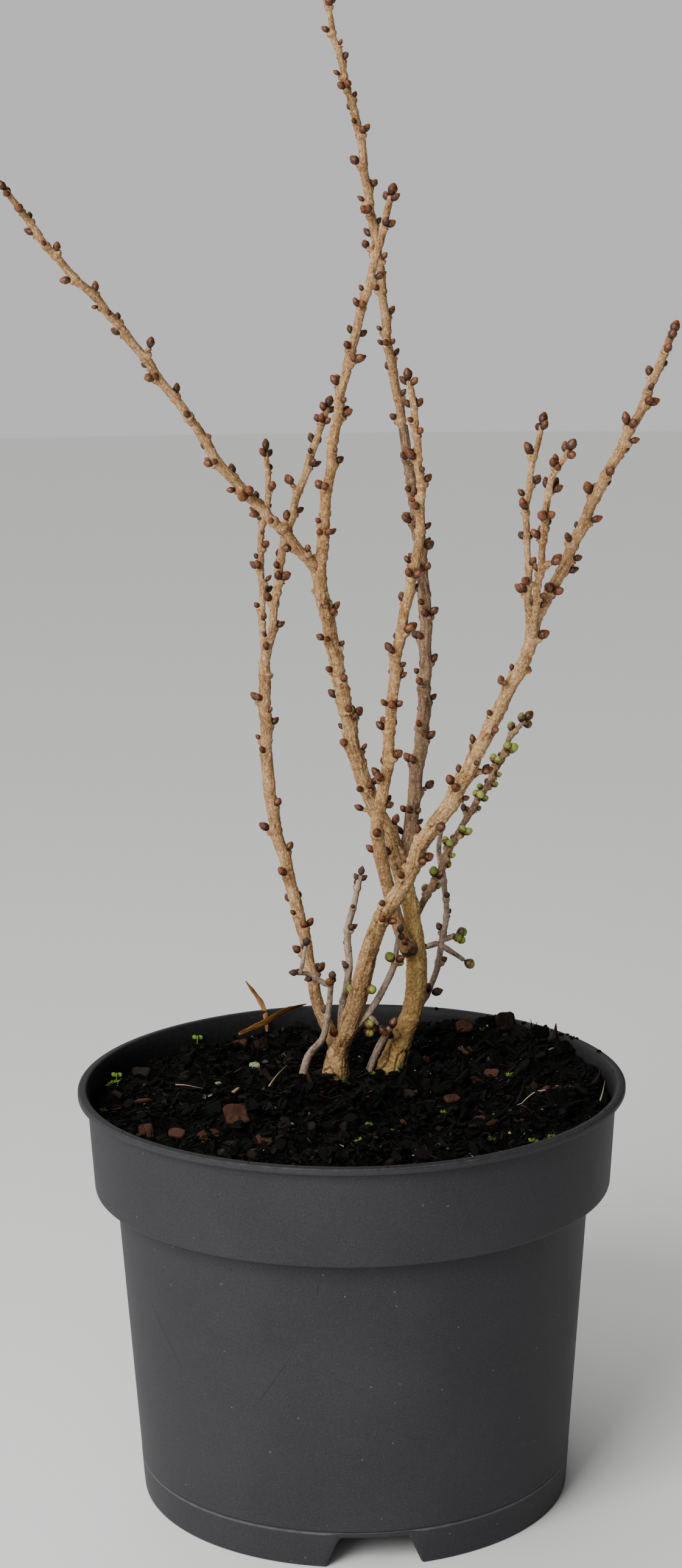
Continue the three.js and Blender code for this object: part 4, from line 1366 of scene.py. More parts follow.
    @staticmethod
    def cushion(seed: int) -> Shape:
        """A leaf cushion: a ragged bracket that swells upwards out of the twig to a flat leaf scar.

        Its rings are half as deep as wide, widen from a point below to a rim, and close over the scar.
        The template's x points out of the twig and its z along it.

        Args:
            seed: Picks how ragged it is.

        Returns:
            The closed surface of a few dozen faces.
        """
        turn = circle(10)
        outline = np.array([(0.3, -2.1), (0.72, -1.2), (1.0, -0.4), (1.18, -0.02), (0.9, 0.12), (0.5, 0.0)])
        ragged = 1 + 0.5 * (noise(seed * 31 + np.arange(60).reshape(6, 10) * 1.3) - 0.5)
        radius, height = outline[:, :1] * ragged, outline[:, 1:] + 0.4 * (ragged - 1)
        rings = lathe(radius, turn, height) * (0.9, 1.2, 1.0)
        return skin(rings, -2.4, 0.0, bands=[0, 0, 0, 1, 2])

    @staticmethod
    def spray(form: BudForm, buds: list[Bud]) -> Shape:
        """Many buds of one form, each a little slimmer or fuller.

        Args:
            form: The bud's form.
            buds: Where each one stands and points.

        Returns:
            All of them as one shape.
        """
        directions = np.array([bud.direction for bud in buds])
        sizes = np.array([bud.size for bud in buds])
        shades = np.array([bud.shade for bud in buds])
        slim = 0.86 + 0.24 * noise(shades * 91)
        axes = spun(directions, 2 * np.pi * noise(shades * 57)) * sizes[:, None, None]
        axes = axes * np.stack([slim, slim, 1.6 - 0.6 * slim], axis=-1)[:, :, None]
        places = np.array([bud.root for bud in buds])
        return copies(form.shape(), axes, places, {"shade": shades})

    def brackets(self) -> Shape:
        """The leaf cushions under the buds, each a little turned, in one of three ragged forms.

        Returns:
            All of them as one shape.
        """
        crowns, outs, alongs, sizes = (np.array(column) for column in zip(*self.scars))
        up = unit(alongs * 0.95 + outs * 0.3)
        sideways = unit(np.cross(up, outs))
        axes = np.stack([np.cross(sideways, up), sideways, up], axis=1) * (0.5 + 0.5 * sizes)[:, None, None]
        places = crowns - 0.7 * sizes[:, None] * alongs + 0.4 * outs
        shades = noise(np.arange(len(places)) * 3.3)
        return joined([
            copies(self.cushion(kind), axes[kind::3], places[kind::3], {"shade": shades[kind::3]})
            for kind in range(3)
        ])

    def build_gum(self) -> None:
        """Makes the bead of gum on the front bough: an uneven drop that sits on the bark and hangs down.

        Its outline is a half sine that is fullest low down, drawn out downwards, and flat against the bark.
        """
        turn = circle(20)[None]
        up = np.linspace(0.03, 0.97, 14)[:, None]
        radius = np.sin(np.pi * up**0.8) ** 0.7 * (1 + 0.08 * np.sin(3 * turn + 2 * up))
        rings = lathe(radius, turn, self.GUM_LONG * (up - 0.5)) * (self.GUM_WIDE, self.GUM_DEEP, 1.0)
        middle = np.array(self.GUM_PLACE)
        rings = rings + middle + (0.35 * (up - 0.5))[..., None] * np.array([1.0, 0, 0])
        drop = skin(rings, middle + (-0.2, 0, -2.65), middle + (0.2, 0, 2.65))
        drop.piece("gum_bead", "pale_bark", [CherryGum()])

    def build(self) -> None:
        """Makes the buds of each state, the leaf scars and the bead of gum."""
        for state, form in self.FORMS.items():
            buds = [bud for bud in self.kept if bud.state is state]
            log.info("%s: %d buds", state.value, len(buds))
            self.spray(form, buds).piece(state.value, "budded_twigs", self.SCALES[state])
        self.brackets().piece("leaf_scars", "budded_twigs", self.SCARS)
        self.build_gum()


@dataclass
class NurseryPot:
    """The round injection-moulded pot, turned about its axis, with three notches in its foot.

    The lip's, collar's, wall's and foot's radii are outer ones, at the top and at the lower end of each.
    A notch's foot and top are its half widths there, and its turn goes from -Y towards +X.
    """

    rim_radius: float = 95.0
    rim_tall: float = 2.4
    collar_top: float = 91.9
    collar_low: float = 89.8
    collar_tall: float = 35.5
    wall_top: float = 82.3
    wall_low: float = 76.0
    wall_thick: float = 1.8
    foot_tall: float = 13.2
    foot_radius: float = 75.1
    foot_inside: float = 72.5
    base_under: float = 10.9
    base_thick: float = 1.8
    notch_turn: float = math.radians(4.6)
    notch_foot: float = 16.5
    notch_top: float = 11.8
    notch_tall: float = 10.8
    columns: int = 384
    finish: Finish = MouldedPolypropylene()

    @property
    def collar_foot(self) -> float:
        """The height of the collar's foot."""
        return POT_HEIGHT - self.collar_tall

    @staticmethod
    def arc(start: tuple, corner: tuple, end: tuple, steps: int = 5) -> list:
        """A rounded corner: a quadratic curve that bends at the corner.

        Args:
            start: Its first point.
            corner: The corner.
            end: Its last point.
            steps: How many points it has.

        Returns:
            The points.
        """
        t = np.linspace(0, 1, steps)[:, None]
        a, b, c = (np.array(point) for point in (start, corner, end))
        return ((1 - t) ** 2 * a + 2 * t * (1 - t) * b + t**2 * c).tolist()

    def outline(self) -> Array:
        """The pot's section: straight stretches and rounded corners.

        Returns:
            Radius and height, from the underside round to the floor inside.
        """
        top, foot = POT_HEIGHT, self.collar_foot
        lip_low = top - self.rim_tall
        under, floor_top = self.base_under, self.base_under + self.base_thick
        inside_low, inside_top = self.wall_low - self.wall_thick, self.wall_top - self.wall_thick
        rib = ((-0.9, 0), (-0.5, 0.45), (0.5, 0.45), (0.9, 0))
        ribs = [(radius + aside, under - tall) for radius in (26, 52) for aside, tall in rib]
        arc, hollow, base, rim = self.arc, self.foot_inside, self.foot_radius, self.rim_radius
        low, high, skirt, crown = self.wall_low, self.wall_top, self.collar_low, self.collar_top
        inner = skirt - self.wall_thick
        up, more = (np.linspace(0, 1, count)[:, None] for count in (22, 12))
        back = np.linspace(1, 0, 10)[:, None]
        points = [
            *ribs,
            *arc((hollow - 1.2, under), (hollow, under), (hollow, under - 1.0)),
            (hollow, 5.0),
            *arc((hollow, 0.5), (hollow, 0), (hollow + 0.5, 0), 4),
            *arc((base - 1, 0), (base - 0.1, 0), (base, 0.9)),
            (base + 0.35, 5.0),
            *arc((low - 0.1, 11.8), (low, 12.75), (low - 0.28, 12.85), 4),
            *arc((low - 0.28, 13.1), (low, 13.2), (low + 0.05, 14.0), 4),
            *((low, self.foot_tall + 1.6) + up * (high - low, 93.6)),
            *arc((high + 0.1, foot - 1.6), (high + 0.2, foot - 0.3), (high + 1.8, foot - 0.1)),
            *arc((skirt - 1.3, foot), (skirt, foot), (skirt + 0.05, foot + 0.9)),
            *((skirt + 0.1, foot + 1.4) + more * (crown - skirt - 0.3, 30.0)),
            *arc((crown - 0.1, lip_low - 0.8), (crown, lip_low - 0.1), (crown + 0.7, lip_low)),
            *arc((rim - 0.6, lip_low), (rim, lip_low), (rim, lip_low + 0.5)),
            *arc((rim, top - 0.9), (rim, top - 0.25), (rim - 0.7, top - 0.15), 7),
            (rim - 1.5, top),
            *arc((rim - 2.3, top), (rim - 3.0, top), (rim - 3.3, top - 0.8)),
            (rim - 3.7, top - 1.6),
            *((inner, foot + 2.5) + back * (crown - skirt + 0.9, 30.6)),
            *arc((inner, foot + 2.0), (inner - 0.2, foot + 0.7), (inner - 1.6, foot + 0.3)),
            *arc((inside_top + 1.2, foot + 0.2), (inside_top, foot), (inside_top, foot - 2.0)),
            *((inside_low, floor_top + 1.5) + back * (inside_top - inside_low, 93.0)),
            *arc((inside_low, floor_top + 1.2), (inside_low, floor_top), (inside_low - 1.2, floor_top)),
            (40.0, floor_top),
        ]
        return np.array(points, float)

    def notch_lift(self, turn: Array) -> Array:
        """How high the foot's edge is lifted at an angle round the pot.

        It is a soft minimum of the notch's height and the height of its slanting side there, so the
        upper corners are rounded.

        Args:
            turn: Angles from +X, anticlockwise.

        Returns:
            Heights above the floor.
        """
        third = 2 * math.pi / 3
        first = self.notch_turn - math.pi / 2
        aside = np.abs((turn - first + third / 2) % third - third / 2) * self.foot_radius
        slant = self.notch_tall / (self.notch_foot - self.notch_top)
        side = (self.notch_foot - aside) * slant
        soft = 0.9
        lift = -soft * np.log(np.exp(-self.notch_tall / soft) + np.exp(-np.clip(side, -30, 60) / soft))
        return np.clip(lift, 0, self.notch_tall)

    def turns(self) -> Array:
        """Where the columns of points stand: evenly round the pot, with more at the sides of each notch.

        Returns:
            Their angles, in order.
        """
        even = circle(self.columns)
        notches = self.notch_turn - math.pi / 2 + np.arange(3) * 2 * math.pi / 3
        sides = np.linspace(self.notch_top - 1.6, self.notch_foot + 0.3, 16) / self.foot_radius
        more = notches[:, None] + np.concatenate([-sides, sides])[None]
        angles = np.sort(np.concatenate([even, more.ravel() % (2 * np.pi)]))
        return angles[np.concatenate([[True], np.diff(angles) > 4e-4])]

    def build(self) -> None:
        """Makes the pot: its section carried round the axis, with the foot's edge lifted at the notches.

        Below the base plate each height is squeezed upwards by the notch's lift, so that the wall keeps
        its top. The plastic is a little out of round, by two and five gentle waves round the pot.
        """
        outline = self.outline()
        turn = self.turns()[None]
        radius, height = outline[:, :1], outline[:, 1:]
        sagging = 0.22 * np.sin(2 * turn + 0.6) + 0.12 * np.sin(5 * turn + 1.9)
        radius = radius + sagging * (height / POT_HEIGHT) * (radius > 60)
        at_foot = (outline[:, 0] > self.foot_inside - 0.5) & (outline[:, 1] < self.foot_tall - 0.3)
        order = np.arange(len(outline))
        outer = at_foot & (order < len(outline) / 2)
        ceiling = np.where(outline[:, :1] <= self.foot_inside + 0.01, self.base_under, self.foot_tall - 0.4)
        squeezed = height + self.notch_lift(turn) * np.clip(1 - height / ceiling, 0, 1)
        height = np.where(outer[:, None], squeezed, height + 0 * turn)
        rings = lathe(radius, turn, height)
        outside = order <= int(np.argmax(outline[:, 0] * (outline[:, 1] > POT_HEIGHT - 1)))
        # Soil dust and painted shade: darker all over the inside, most near the compost, and along the
        # groove above the foot
        near_soil = (0.7 + 0.3 * bell(outline[:, 1] - SOIL_LEVEL, 4)) * ~outside
        groove = 0.6 * bell(outline[:, 1] - 13.0, 0.25) * outside
        dust = np.clip(near_soil + groove, 0, 1)[:, None] + 0 * turn
        # Rubbed wear and a painted highlight: a pale broken line along the lip's outer edge and the groove's
        # lower edge
        edges = np.array([(self.rim_radius - 0.25, POT_HEIGHT - 0.4), (self.wall_low, 12.5)])
        nearest = np.linalg.norm(outline[:, None] - edges[None], axis=2).min(axis=1)
        patchiness = 0.35 + 0.65 * layered(np.stack([40 * np.cos(turn), 40 * np.sin(turn), 0 * turn], -1), 17, 2)
        worn = 0.9 * bell(nearest, 0.3)[:, None] * patchiness[0][None]
        shape = skin(rings, self.base_under, self.base_under + self.base_thick, {"dust": dust, "worn": worn})
        piece = shape.piece("nursery_pot", "pot_plastic", [self.finish])
        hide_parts("pot")

    def inside(self, height: Array | float) -> Array | float:
        """The radius of the pot's inside at a height near its rim."""
        share = (height - self.collar_foot) / (POT_HEIGHT - self.rim_tall - self.collar_foot)
        return self.collar_low + (self.collar_top - self.collar_low) * share - self.wall_thick


@dataclass
class Compost:
    """The compost in the pot: a crumbly bed, with loose chips, crumbs, fibres, moss and a dry leaf.

    Lumps are thick chips of bark, and splinters long narrow ones; each field says how many are strewn.
    """

    pot: NurseryPot
    lumps: int = 80
    chips: int = 1700
    splinters: int = 900
    crumbs: int = 6200
    fibres: int = 150
    bed_rings: int = 72
    bed_columns: int = 340
    bed: Finish = PottingCompost()
    leaf: Finish = DryLeaf()

    TONES = (
        Tone("moist bark, near black", "#030302", 0.7, 0.08),
        Tone("moist bark, dark brown", "#080603", 0.7, 0.08),
        Tone("composted bark, brown", "#170e08", 0.7, 0.12),
        Tone("composted bark, red-brown", "#3c2215", 0.65, 0.2),
        Tone("weathered bark, grey-brown", "#1e1914", 0.8, 0.12),
        Tone("dry wood, pale", "#a58f68", 0.8, 0.3),
        Tone("wet peat", "#07080a", 0.3, 0.5),
        Tone("lichen, pale green", "#7d8a66", 0.8, 0.2),
    )
    SHARES = (0.62, 0.22, 0.075, 0.02, 0.02, 0.002, 0.041, 0.002)
    MOSS = (
        Tone("moss, light green", "#5f7d22", 0.7, 0.3),
        Tone("moss, deep green", "#35470f", 0.8, 0.3),
    )
    # The heap against the wall at the back right: its place, height and spread
    HEAP_TURN, HEAP_REACH, HEAP_TALL, HEAP_LONG, HEAP_WIDE = 0.68, 89.0, 6.3, 50.0, 14.0
    # Where moss grows and how far it spreads
    MOSS_PLACES = (
        (-84.6, 21.2, 1.7), (-86.0, -6.6, 0.6), (5.6, -23.9, 0.6), (2.2, -36.2, 0.8), (48.4, -54.9, 1.0),
        (60.5, -45.9, 0.8), (67.2, -41.0, 0.9), (46.6, -42.8, 0.6), (31.6, -16.9, 0.5), (56.6, 21.1, 0.8),
        (48.9, 69.3, 0.6), (12.8, -32.7, 0.5), (-9.0, 24.5, 1.0), (-2.0, 23.5, 0.8), (8.0, 33.0, 0.7),
    )
    # The seedlings: x, y and how tall they are
    SEEDLINGS = ((-57.2, 69.0, 5.0), (-84.0, 24.0, 3.5))
    # Bits that show in the photograph: x, y, the height of the middle above the bed, the length, width
    # and thickness, the way that the length points, how far it is tipped up, and the tone's number
    SHOWN = (
        (-39.4, -25.6, 2.4, 9.6, 8.2, 2.8, 0.35, 0.85, 3), (-70.1, -27.8, 1.8, 6.0, 6.5, 3.0, 0.2, 0.9, 3),
        (-59.0, -38.6, 1.4, 6.6, 4.4, 1.7, -0.4, 0.5, 3), (-48.7, -36.4, 1.6, 10.5, 3.4, 1.7, 0.65, 0.3, 3),
        (-29.7, -40.2, 1.2, 6.6, 4.4, 1.8, 0.1, 0.6, 3), (-36.8, -41.3, 1.0, 8.0, 3.2, 1.4, -0.1, 0.3, 3),
        (35.1, 2.1, 1.2, 6.5, 4.0, 1.6, 0.5, 0.4, 3), (27.4, 50.9, 1.2, 6.0, 4.5, 1.8, 1.0, 0.5, 3),
        (50.2, 27.1, 1.2, 6.5, 3.8, 1.6, -0.5, 0.5, 3), (44.8, 24.4, 1.2, 5.5, 3.5, 1.4, 0.7, 0.3, 3),
        (42.2, 72.0, 1.6, 7.0, 5.0, 2.0, 0.2, 0.8, 3), (43.4, 55.6, 1.2, 6.0, 4.0, 1.6, 0.9, 0.4, 3),
        (-40.6, 69.0, 1.8, 6.0, 5.0, 2.2, 0.2, 0.9, 3), (-33.0, 69.0, 1.8, 7.0, 6.4, 2.5, 0.5, 0.8, 2),
        (-76.0, 36.0, 1.8, 8.4, 5.6, 2.2, -0.4, 0.7, 4), (-86.5, 33.0, 3.0, 2.6, 4.4, 2.0, 0.2, 1.25, 5),
        (-34.9, 41.2, 1.6, 4.2, 2.6, 1.6, 0.1, 0.5, 7), (57.3, 67.6, 2.8, 7.8, 7.4, 2.6, 0.25, 1.3, 2),
        (62.5, 63.0, 1.2, 8.0, 6.0, 2.6, -0.75, 0.8, 1), (50.5, 72.5, 0.6, 9.0, 6.0, 2.4, 0.3, 0.7, 0),
        (69.0, 55.5, 0.6, 9.0, 6.0, 2.4, 0.5, 0.6, 0), (77.0, 40.0, 0.8, 8.0, 6.0, 2.5, 0.6, 0.7, 1),
        (26.0, 79.0, 0.8, 9.0, 6.0, 2.5, 0.0, 0.6, 1),
    )

    def level(self, x: Array | float, y: Array | float) -> Array | float:
        """The height of the bed: broad waves, lumps and crumbs as clouds, and a heap at the back right.

        The heap keeps its height along the wall before it falls off, and falls off as a bell away from it.

        Args:
            x, y: Where.

        Returns:
            Heights above the floor.
        """
        waves = 1.3 * np.sin(x / 11 + 1) * np.cos(y / 9) + 0.9 * np.sin(x / 5.3 - y / 7.1)
        flat = np.stack([x, y, 0 * x], axis=-1)
        lumps = 4.2 * (layered(flat / 6.5, 3, 2) - 0.55) + 2.2 * (cloud(flat / 1.9, 8) - 0.5)
        along = (np.arctan2(y, x) - self.HEAP_TURN) * self.HEAP_REACH
        inward = self.HEAP_REACH - np.hypot(x, y)
        heap = self.HEAP_TALL * np.exp(-((along / self.HEAP_LONG) ** 4) - (inward / self.HEAP_WIDE) ** 2)
        return SOIL_LEVEL + waves + lumps + heap

    @property
    def wall(self) -> float:
        """The radius of the pot's inside at the compost's level."""
        return self.pot.inside(SOIL_LEVEL)

    def lay(self, name: str, shapes: list[Shape], smooth: bool = True) -> None:
        """Makes several shapes one piece of loose matter, in the compost's tones."""
        joined(shapes).piece(name, "compost", self.TONES, smooth)

    def build_bed(self) -> None:
        """Makes the bed: rings of its surface out to the wall, closed by a plain side and underside."""
        turn = circle(self.bed_columns)[None]
        radius = np.linspace(self.wall - GAP, 0.8, self.bed_rings)[:, None]
        top = lathe(radius, turn, self.level(radius * np.cos(turn), radius * np.sin(turn)))
        low = self.pot.base_under + self.pot.base_thick + GAP
        ledge = self.pot.collar_foot + self.pot.wall_thick + 1.4
        sides = np.array([
            (self.pot.wall_low - self.pot.wall_thick - GAP, low),
            (self.pot.wall_top - self.pot.wall_thick - 1.4, self.pot.collar_foot - 0.2),
            (self.pot.inside(ledge) - GAP - 0.2, ledge),
            (self.pot.inside(SOIL_LEVEL - 4) - GAP, SOIL_LEVEL - 4),
        ])
        below = lathe(sides[:, :1], turn, sides[:, 1:])
        shape = skin(np.concatenate([below, top]), low, self.level(0.0, 0.0))
        piece = shape.piece("compost_bed", "compost", [self.bed])
        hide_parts("potting_soil")

    @staticmethod
    def chunk(seed: int) -> Shape:
        """A thick chip of bark about 1 long, wide and thick, with rough faces and a broken edge.

        Its outline and its section are superellipses, so that it is a slab with rounded edges, and
        layered clouds push its points in and out.

        Args:
            seed: Picks its own clouds.

        Returns:
            The closed chip.
        """
        turn = circle(18)[None]
        rise = np.linspace(-1.47, 1.47, 8)[:, None]
        outline = (np.abs(np.cos(turn)) ** 5 + np.abs(np.sin(turn)) ** 5) ** (-1 / 5)
        height = 0.5 * np.sign(rise) * np.abs(np.sin(rise)) ** 0.6 + 0 * turn
        radius = 0.44 * outline * np.cos(rise) ** 0.32
        rings = lathe(radius, turn, height)
        broken = layered(rings * (2.2, 2.2, 0.6) + 13.7 * seed, seed, 3)[..., None] - 0.5
        pitted = layered(rings * (6.5, 6.5, 0.5) + 5.1 * seed, seed + 5, 2) - 0.5
        rings = rings * (1 + (0.5, 0.5, 0.0) * broken)
        rings[..., 2] += 0.35 * pitted * np.sign(rise) + 0.6 * broken[..., 0]
        return skin(rings, rings[0].mean(axis=0), rings[-1].mean(axis=0))

    @staticmethod
    def shard(seed: int, sides: int) -> Shape:
        """A flat jagged shard about 1 long, wide and thick: two broken faces with a ragged edge between.

        The radius differs from corner to corner in the same way on all three rings, so that the corners
        stand square, and the faces tip a little.

        Args:
            seed: Picks its own corners.
            sides: How many corners it has.

        Returns:
            The closed shard.
        """
        turn = circle(sides)
        turn = turn + 0.5 * noise(seed * 7 + np.arange(sides)) / sides
        corner = 0.34 + 0.24 * noise(seed * 17 + np.arange(sides) * 1.7)
        rough = 1 + 0.16 * (noise(seed * 3 + np.arange(3 * sides).reshape(3, sides) * 2.3) - 0.5)
        radius = corner * rough * np.array([[0.9], [1.0], [0.86]])
        uneven = noise(seed + np.arange(3 * sides)).reshape(3, sides) - 0.5
        tipped = 0.3 * np.cos(turn + seed) + 0.2 * uneven
        height = np.array([[-0.42], [0.0], [0.42]]) + tipped * np.array([[0.6], [0.3], [1.0]])
        return skin(lathe(radius, turn, height), -0.45, 0.45)

    def strewn(self, count: int, seed: int, sides: int, long: Row, slim: Row) -> Shape:
        """Chips strewn over the bed, lying every way and coloured by their shares.

        Args:
            count: How many.
            seed: Deals out their places and sizes.
            sides: How many points lie round a shard; 0 strews thick chunks.
            long: The smallest, usual and largest length.
            slim: The least and the greatest width, as shares of the length.

        Returns:
            All the chips as one shape.
        """
        rng = np.random.default_rng(seed)
        length = np.clip(long[1] * np.exp(rng.normal(0, 0.4, count)), long[0], long[2])
        edge = self.wall - 0.8 - 0.45 * length
        radius, turn = edge * np.sqrt(rng.random(count)), 2 * np.pi * rng.random(count)
        x, y = radius * np.cos(turn), radius * np.sin(turn)
        width = length * rng.uniform(*slim, count)
        thick = np.clip(width * rng.uniform(0.15, 0.45, count), 0.4, 2.5)
        lift = rng.uniform(-0.25, 1.0, count) * np.clip(0.35 * length, 0.3, 2.0)
        places = np.stack([x, y, self.level(x, y) + lift], axis=-1)
        normals = unit(np.concatenate([rng.normal(0, 0.6, (count, 2)), np.ones((count, 1))], axis=1))
        sizes = np.stack([length, width, thick], axis=-1)
        axes = spun(normals, 2 * np.pi * rng.random(count)) * sizes[:, :, None]
        shades = rng.random(count)
        tones = rng.choice(len(self.SHARES), count, p=self.SHARES)
        tones = np.where(length > 4.5, tones % 5, tones)  # pale, wet and green bits are small
        kinds = rng.integers(0, 4, count)
        groups = []
        for kind in range(4):
            template = self.shard(seed + kind, sides) if sides else self.chunk(seed + kind)
            for tone in range(len(self.SHARES)):
                chosen = (kinds == kind) & (tones == tone)
                if chosen.any():
                    own = {"shade": shades[chosen]}
                    groups.append(copies(template, axes[chosen], places[chosen], own, tone))
        return joined(groups)

    def shown_bits(self) -> Shape:
        """The larger chips that show in the photograph, each where it lies.

        Returns:
            All of them as one shape.
        """
        parts = []
        for number, (x, y, lift, *size, turn, tilt, tone) in enumerate(self.SHOWN):
            turned = Matrix.Rotation(turn, 3, "Z") @ Matrix.Rotation(tilt, 3, "X")
            axes = np.array(turned).T * np.array(size)[:, None]
            place = np.array([[x, y, self.level(x, y) + lift]])
            chunk, shade = self.chunk(60 + number), {"shade": np.array([0.6])}
            parts.append(copies(chunk, axes[None], place, shade, tone))
        return joined(parts)

    def build_fibres(self) -> None:
        """Makes the fibres: thin threads of root and peat that arch over the bed."""
        rng = np.random.default_rng(31)
        parts = []
        for _ in range(self.fibres):
            long = rng.uniform(5, 18)
            heading, bow = 2 * np.pi * rng.random(), rng.uniform(-0.25, 0.25)
            edge = self.wall - 2 - long / 2
            reach, turn = edge * math.sqrt(rng.random()), 2 * np.pi * rng.random()
            t = np.linspace(-0.5, 0.5, 9)
            across = long * bow * (1 - 4 * t**2) + 0.6 * np.sin(9 * t + rng.uniform(0, 6))
            x = reach * np.cos(turn) + long * t * np.cos(heading) - across * np.sin(heading)
            y = reach * np.sin(turn) + long * t * np.sin(heading) + across * np.cos(heading)
            z = self.level(x, y) + 0.6 + rng.uniform(0.2, 1.6) * (1 - 4 * t**2)
            thick = rng.uniform(0.1, 0.26) * np.sqrt(1.02 - 4 * t**2 * 0.9)
            tone = int(rng.choice([0, 1, 2, 5], p=[0.46, 0.33, 0.19, 0.02]))
            parts.append(thread(np.stack([x, y, z], axis=-1), thick, 5, tone, rng.random()))
        self.lay("compost_fibres", parts)

    def build_moss(self) -> None:
        """Makes the moss, small tufts of tapering leaves that fan out from their root, and the seedlings."""
        rng = np.random.default_rng(47)
        turn = circle(4)
        taper, height = np.array([[0.16], [0.26], [0.1]]), np.array([[0.0], [0.4], [0.8]])
        blade = skin(lathe(taper, turn, height) * (1.0, 0.45, 1.0), 0.0, 1.0)
        parts = []
        for number, (x, y, wide) in enumerate(self.MOSS_PLACES):
            count = round(80 * wide)
            aside = rng.normal(0, 0.6 * wide, (count, 2))
            spots = np.array([x, y]) + aside
            spots *= np.clip((self.wall - 1.2) / np.linalg.norm(spots, axis=1, keepdims=True), 0, 1)
            places = np.column_stack([spots, self.level(spots[:, 0], spots[:, 1]) + 1.0])
            lean = np.column_stack([aside / wide + rng.normal(0, 0.35, (count, 2)), np.full(count, 0.8)])
            axes = spun(lean, 2 * np.pi * rng.random(count)) * rng.uniform(0.6, 1.4, count)[:, None, None]
            parts.append(copies(blade, axes, places, {"shade": rng.random(count)}, int(number % 3 == 1)))
        parts += self.sprouts()
        joined(parts).piece("moss_tufts", "compost", self.MOSS)

    def sprouts(self) -> list[Shape]:
        """The seedlings at the back left: each a thin stem with three round leaves.

        Returns:
            Their stems and leaves.
        """
        parts = []
        for x, y, tall in self.SEEDLINGS:
            root = np.array([x, y, self.level(x, y)])
            stem = root + np.linspace(0, 1, 6)[:, None] * np.array([0.5, -0.3, tall])
            parts.append(thread(stem, np.full(6, 0.2), 6))
            ball = BudForm(long=2.2, radius=0.9, widest=0.6, blunt=0.6, edges=(0.3, 0.6), proud=0.0).shape()
            lean = np.array([[0.9, -0.2, 0.5], [-0.9, 0.1, 0.5], [0.1, -0.8, 0.7]])
            axes = spun(lean, np.zeros(3)) * np.array([0.35, 1.0, 1.0])[None, :, None]
            parts.append(copies(ball, axes, np.repeat(stem[-1:], 3, axis=0), {"shade": np.full(3, 0.8)}, 0))
        return parts

    def ribbon(self, course: tuple, half: float, twist: Row, rows: int = 40) -> Shape:
        """A thin twisted blade along a smooth path.

        Its section is a flat ellipse. The half width swells from the foot and runs out to the tip as
        the root of a half sine, and the section turns evenly from the first twist to the last.

        Args:
            course: Points of the path.
            half: The greatest half width.
            twist: How far the section is turned at the foot and at the tip.
            rows: How many rings it has.

        Returns:
            The closed blade, with its own unrolled places.
        """
        path = Limb("", 0, Bark.GREY, tuple((*point, 1.0) for point in course))
        reach = np.linspace(0, path.long, rows)
        station = path.at(reach)
        turn = circle(12)[None]
        wide = half * np.sin(np.pi * (0.06 + 0.92 * reach / path.long)) ** 0.6
        wide = (wide * (1 + 0.12 * np.sin(1.1 * reach)))[:, None]
        across = wide * np.cos(turn)
        depth = (0.12 + 0.09 * np.abs(np.cos(turn)) * wide / half) * np.sin(turn)
        angle = np.linspace(*twist, rows)
        side, back = station.outward(angle)[:, None], station.outward(angle + math.pi / 2)[:, None]
        rings = station.place[:, None] + across[..., None] * side + depth[..., None] * back
        unrolled = np.stack([across, depth, reach[:, None] + 0 * turn], axis=-1) * MM
        return skin(rings, station.place[0], station.place[-1], {"unrolled": unrolled})

    def build_leaf(self) -> None:
        """Makes the two dead blades at the back left: one leans on the rim, one curls up over it."""
        leaning = (-41.5, 70.5, 142.6), (-32, 77, 145.2), (-24, 84.5, 147.6), (-16.5, 91.0, 148.0)
        curled = (-31.3, 80, 140.6), (-31.6, 84, 144.5), (-33.2, 88, 149.0), (-39.3, 90, 157.7)
        blades = [self.ribbon(leaning, 1.35, (0.0, 0.6)), self.ribbon(curled, 1.0, (0.0, 0.8))]
        joined(blades).piece("dry_leaf", "compost", [self.leaf])

    def build_litter(self) -> None:
        """Makes the straw, the strips of bark by the wall, a stick, and the crumbs on the lip."""
        # Each bit's path, its radius and its tone
        bits = [
            (((-29.0, 13.5, 140.5), (-26.5, 22, 141.6), (-22.8, 32.7, 142.4)), 0.3, 5),
            (((84.0, 6.0, 140.5), (86.6, 9, 143.0), (88.2, 13, 145.6)), 1.5, 2),
            (((74.4, 50.0, 143.0), (74.6, 50.2, 147.2), (74.9, 50.4, 151.4)), 1.8, 2),
            (((66.6, 62.2, 146.4), (66.7, 62.4, 148.2), (66.2, 62.4, 149.9)), 0.35, 0),
            (((68.3, 60.4, 146.4), (68.4, 60.6, 148.0), (69.0, 60.6, 149.4)), 0.35, 0),
            (((86.5, -3.0, 139.0), (87.4, -2.5, 142.0), (88.3, -1.0, 145.6)), 0.35, 7),
            (((57.0, -4.0, 138), (59.4, -0.9, 142), (60.6, 2.0, 145.0)), 0.8, 2),
            (((-62.0, 14.0, 141.2), (-58.0, 10.0, 142.2), (-52.0, 9.0, 141.2)), 0.22, 5),
        ]
        parts = []
        for points, radius, tone in bits:
            path = Limb("", 0, Bark.GREY, tuple((*point, radius) for point in points))
            reach = np.linspace(0, path.long, 14)
            parts.append(thread(path.at(reach).place, radius * (1 - 0.9 * np.linspace(0, 1, 14)), 7, tone))
        rng = np.random.default_rng(53)
        count, round_ = 44, 14  # crumbs on the lip, and how many of them lie all round it
        turn = np.concatenate([2 * np.pi * rng.random(round_), rng.normal(0.7, 0.14, count - round_)])
        radius = rng.uniform(self.pot.rim_radius - 3.2, self.pot.rim_radius - 1.2, count)
        places = lathe(radius, turn, POT_HEIGHT + 0.05)
        fine, coarse = rng.uniform(0.3, 0.8, count), rng.uniform(0.6, 2.2, count)
        size = np.where(np.arange(count) < round_, fine, coarse)
        slim = np.stack([size, 0.4 * size, 0.7 * size], axis=-1)
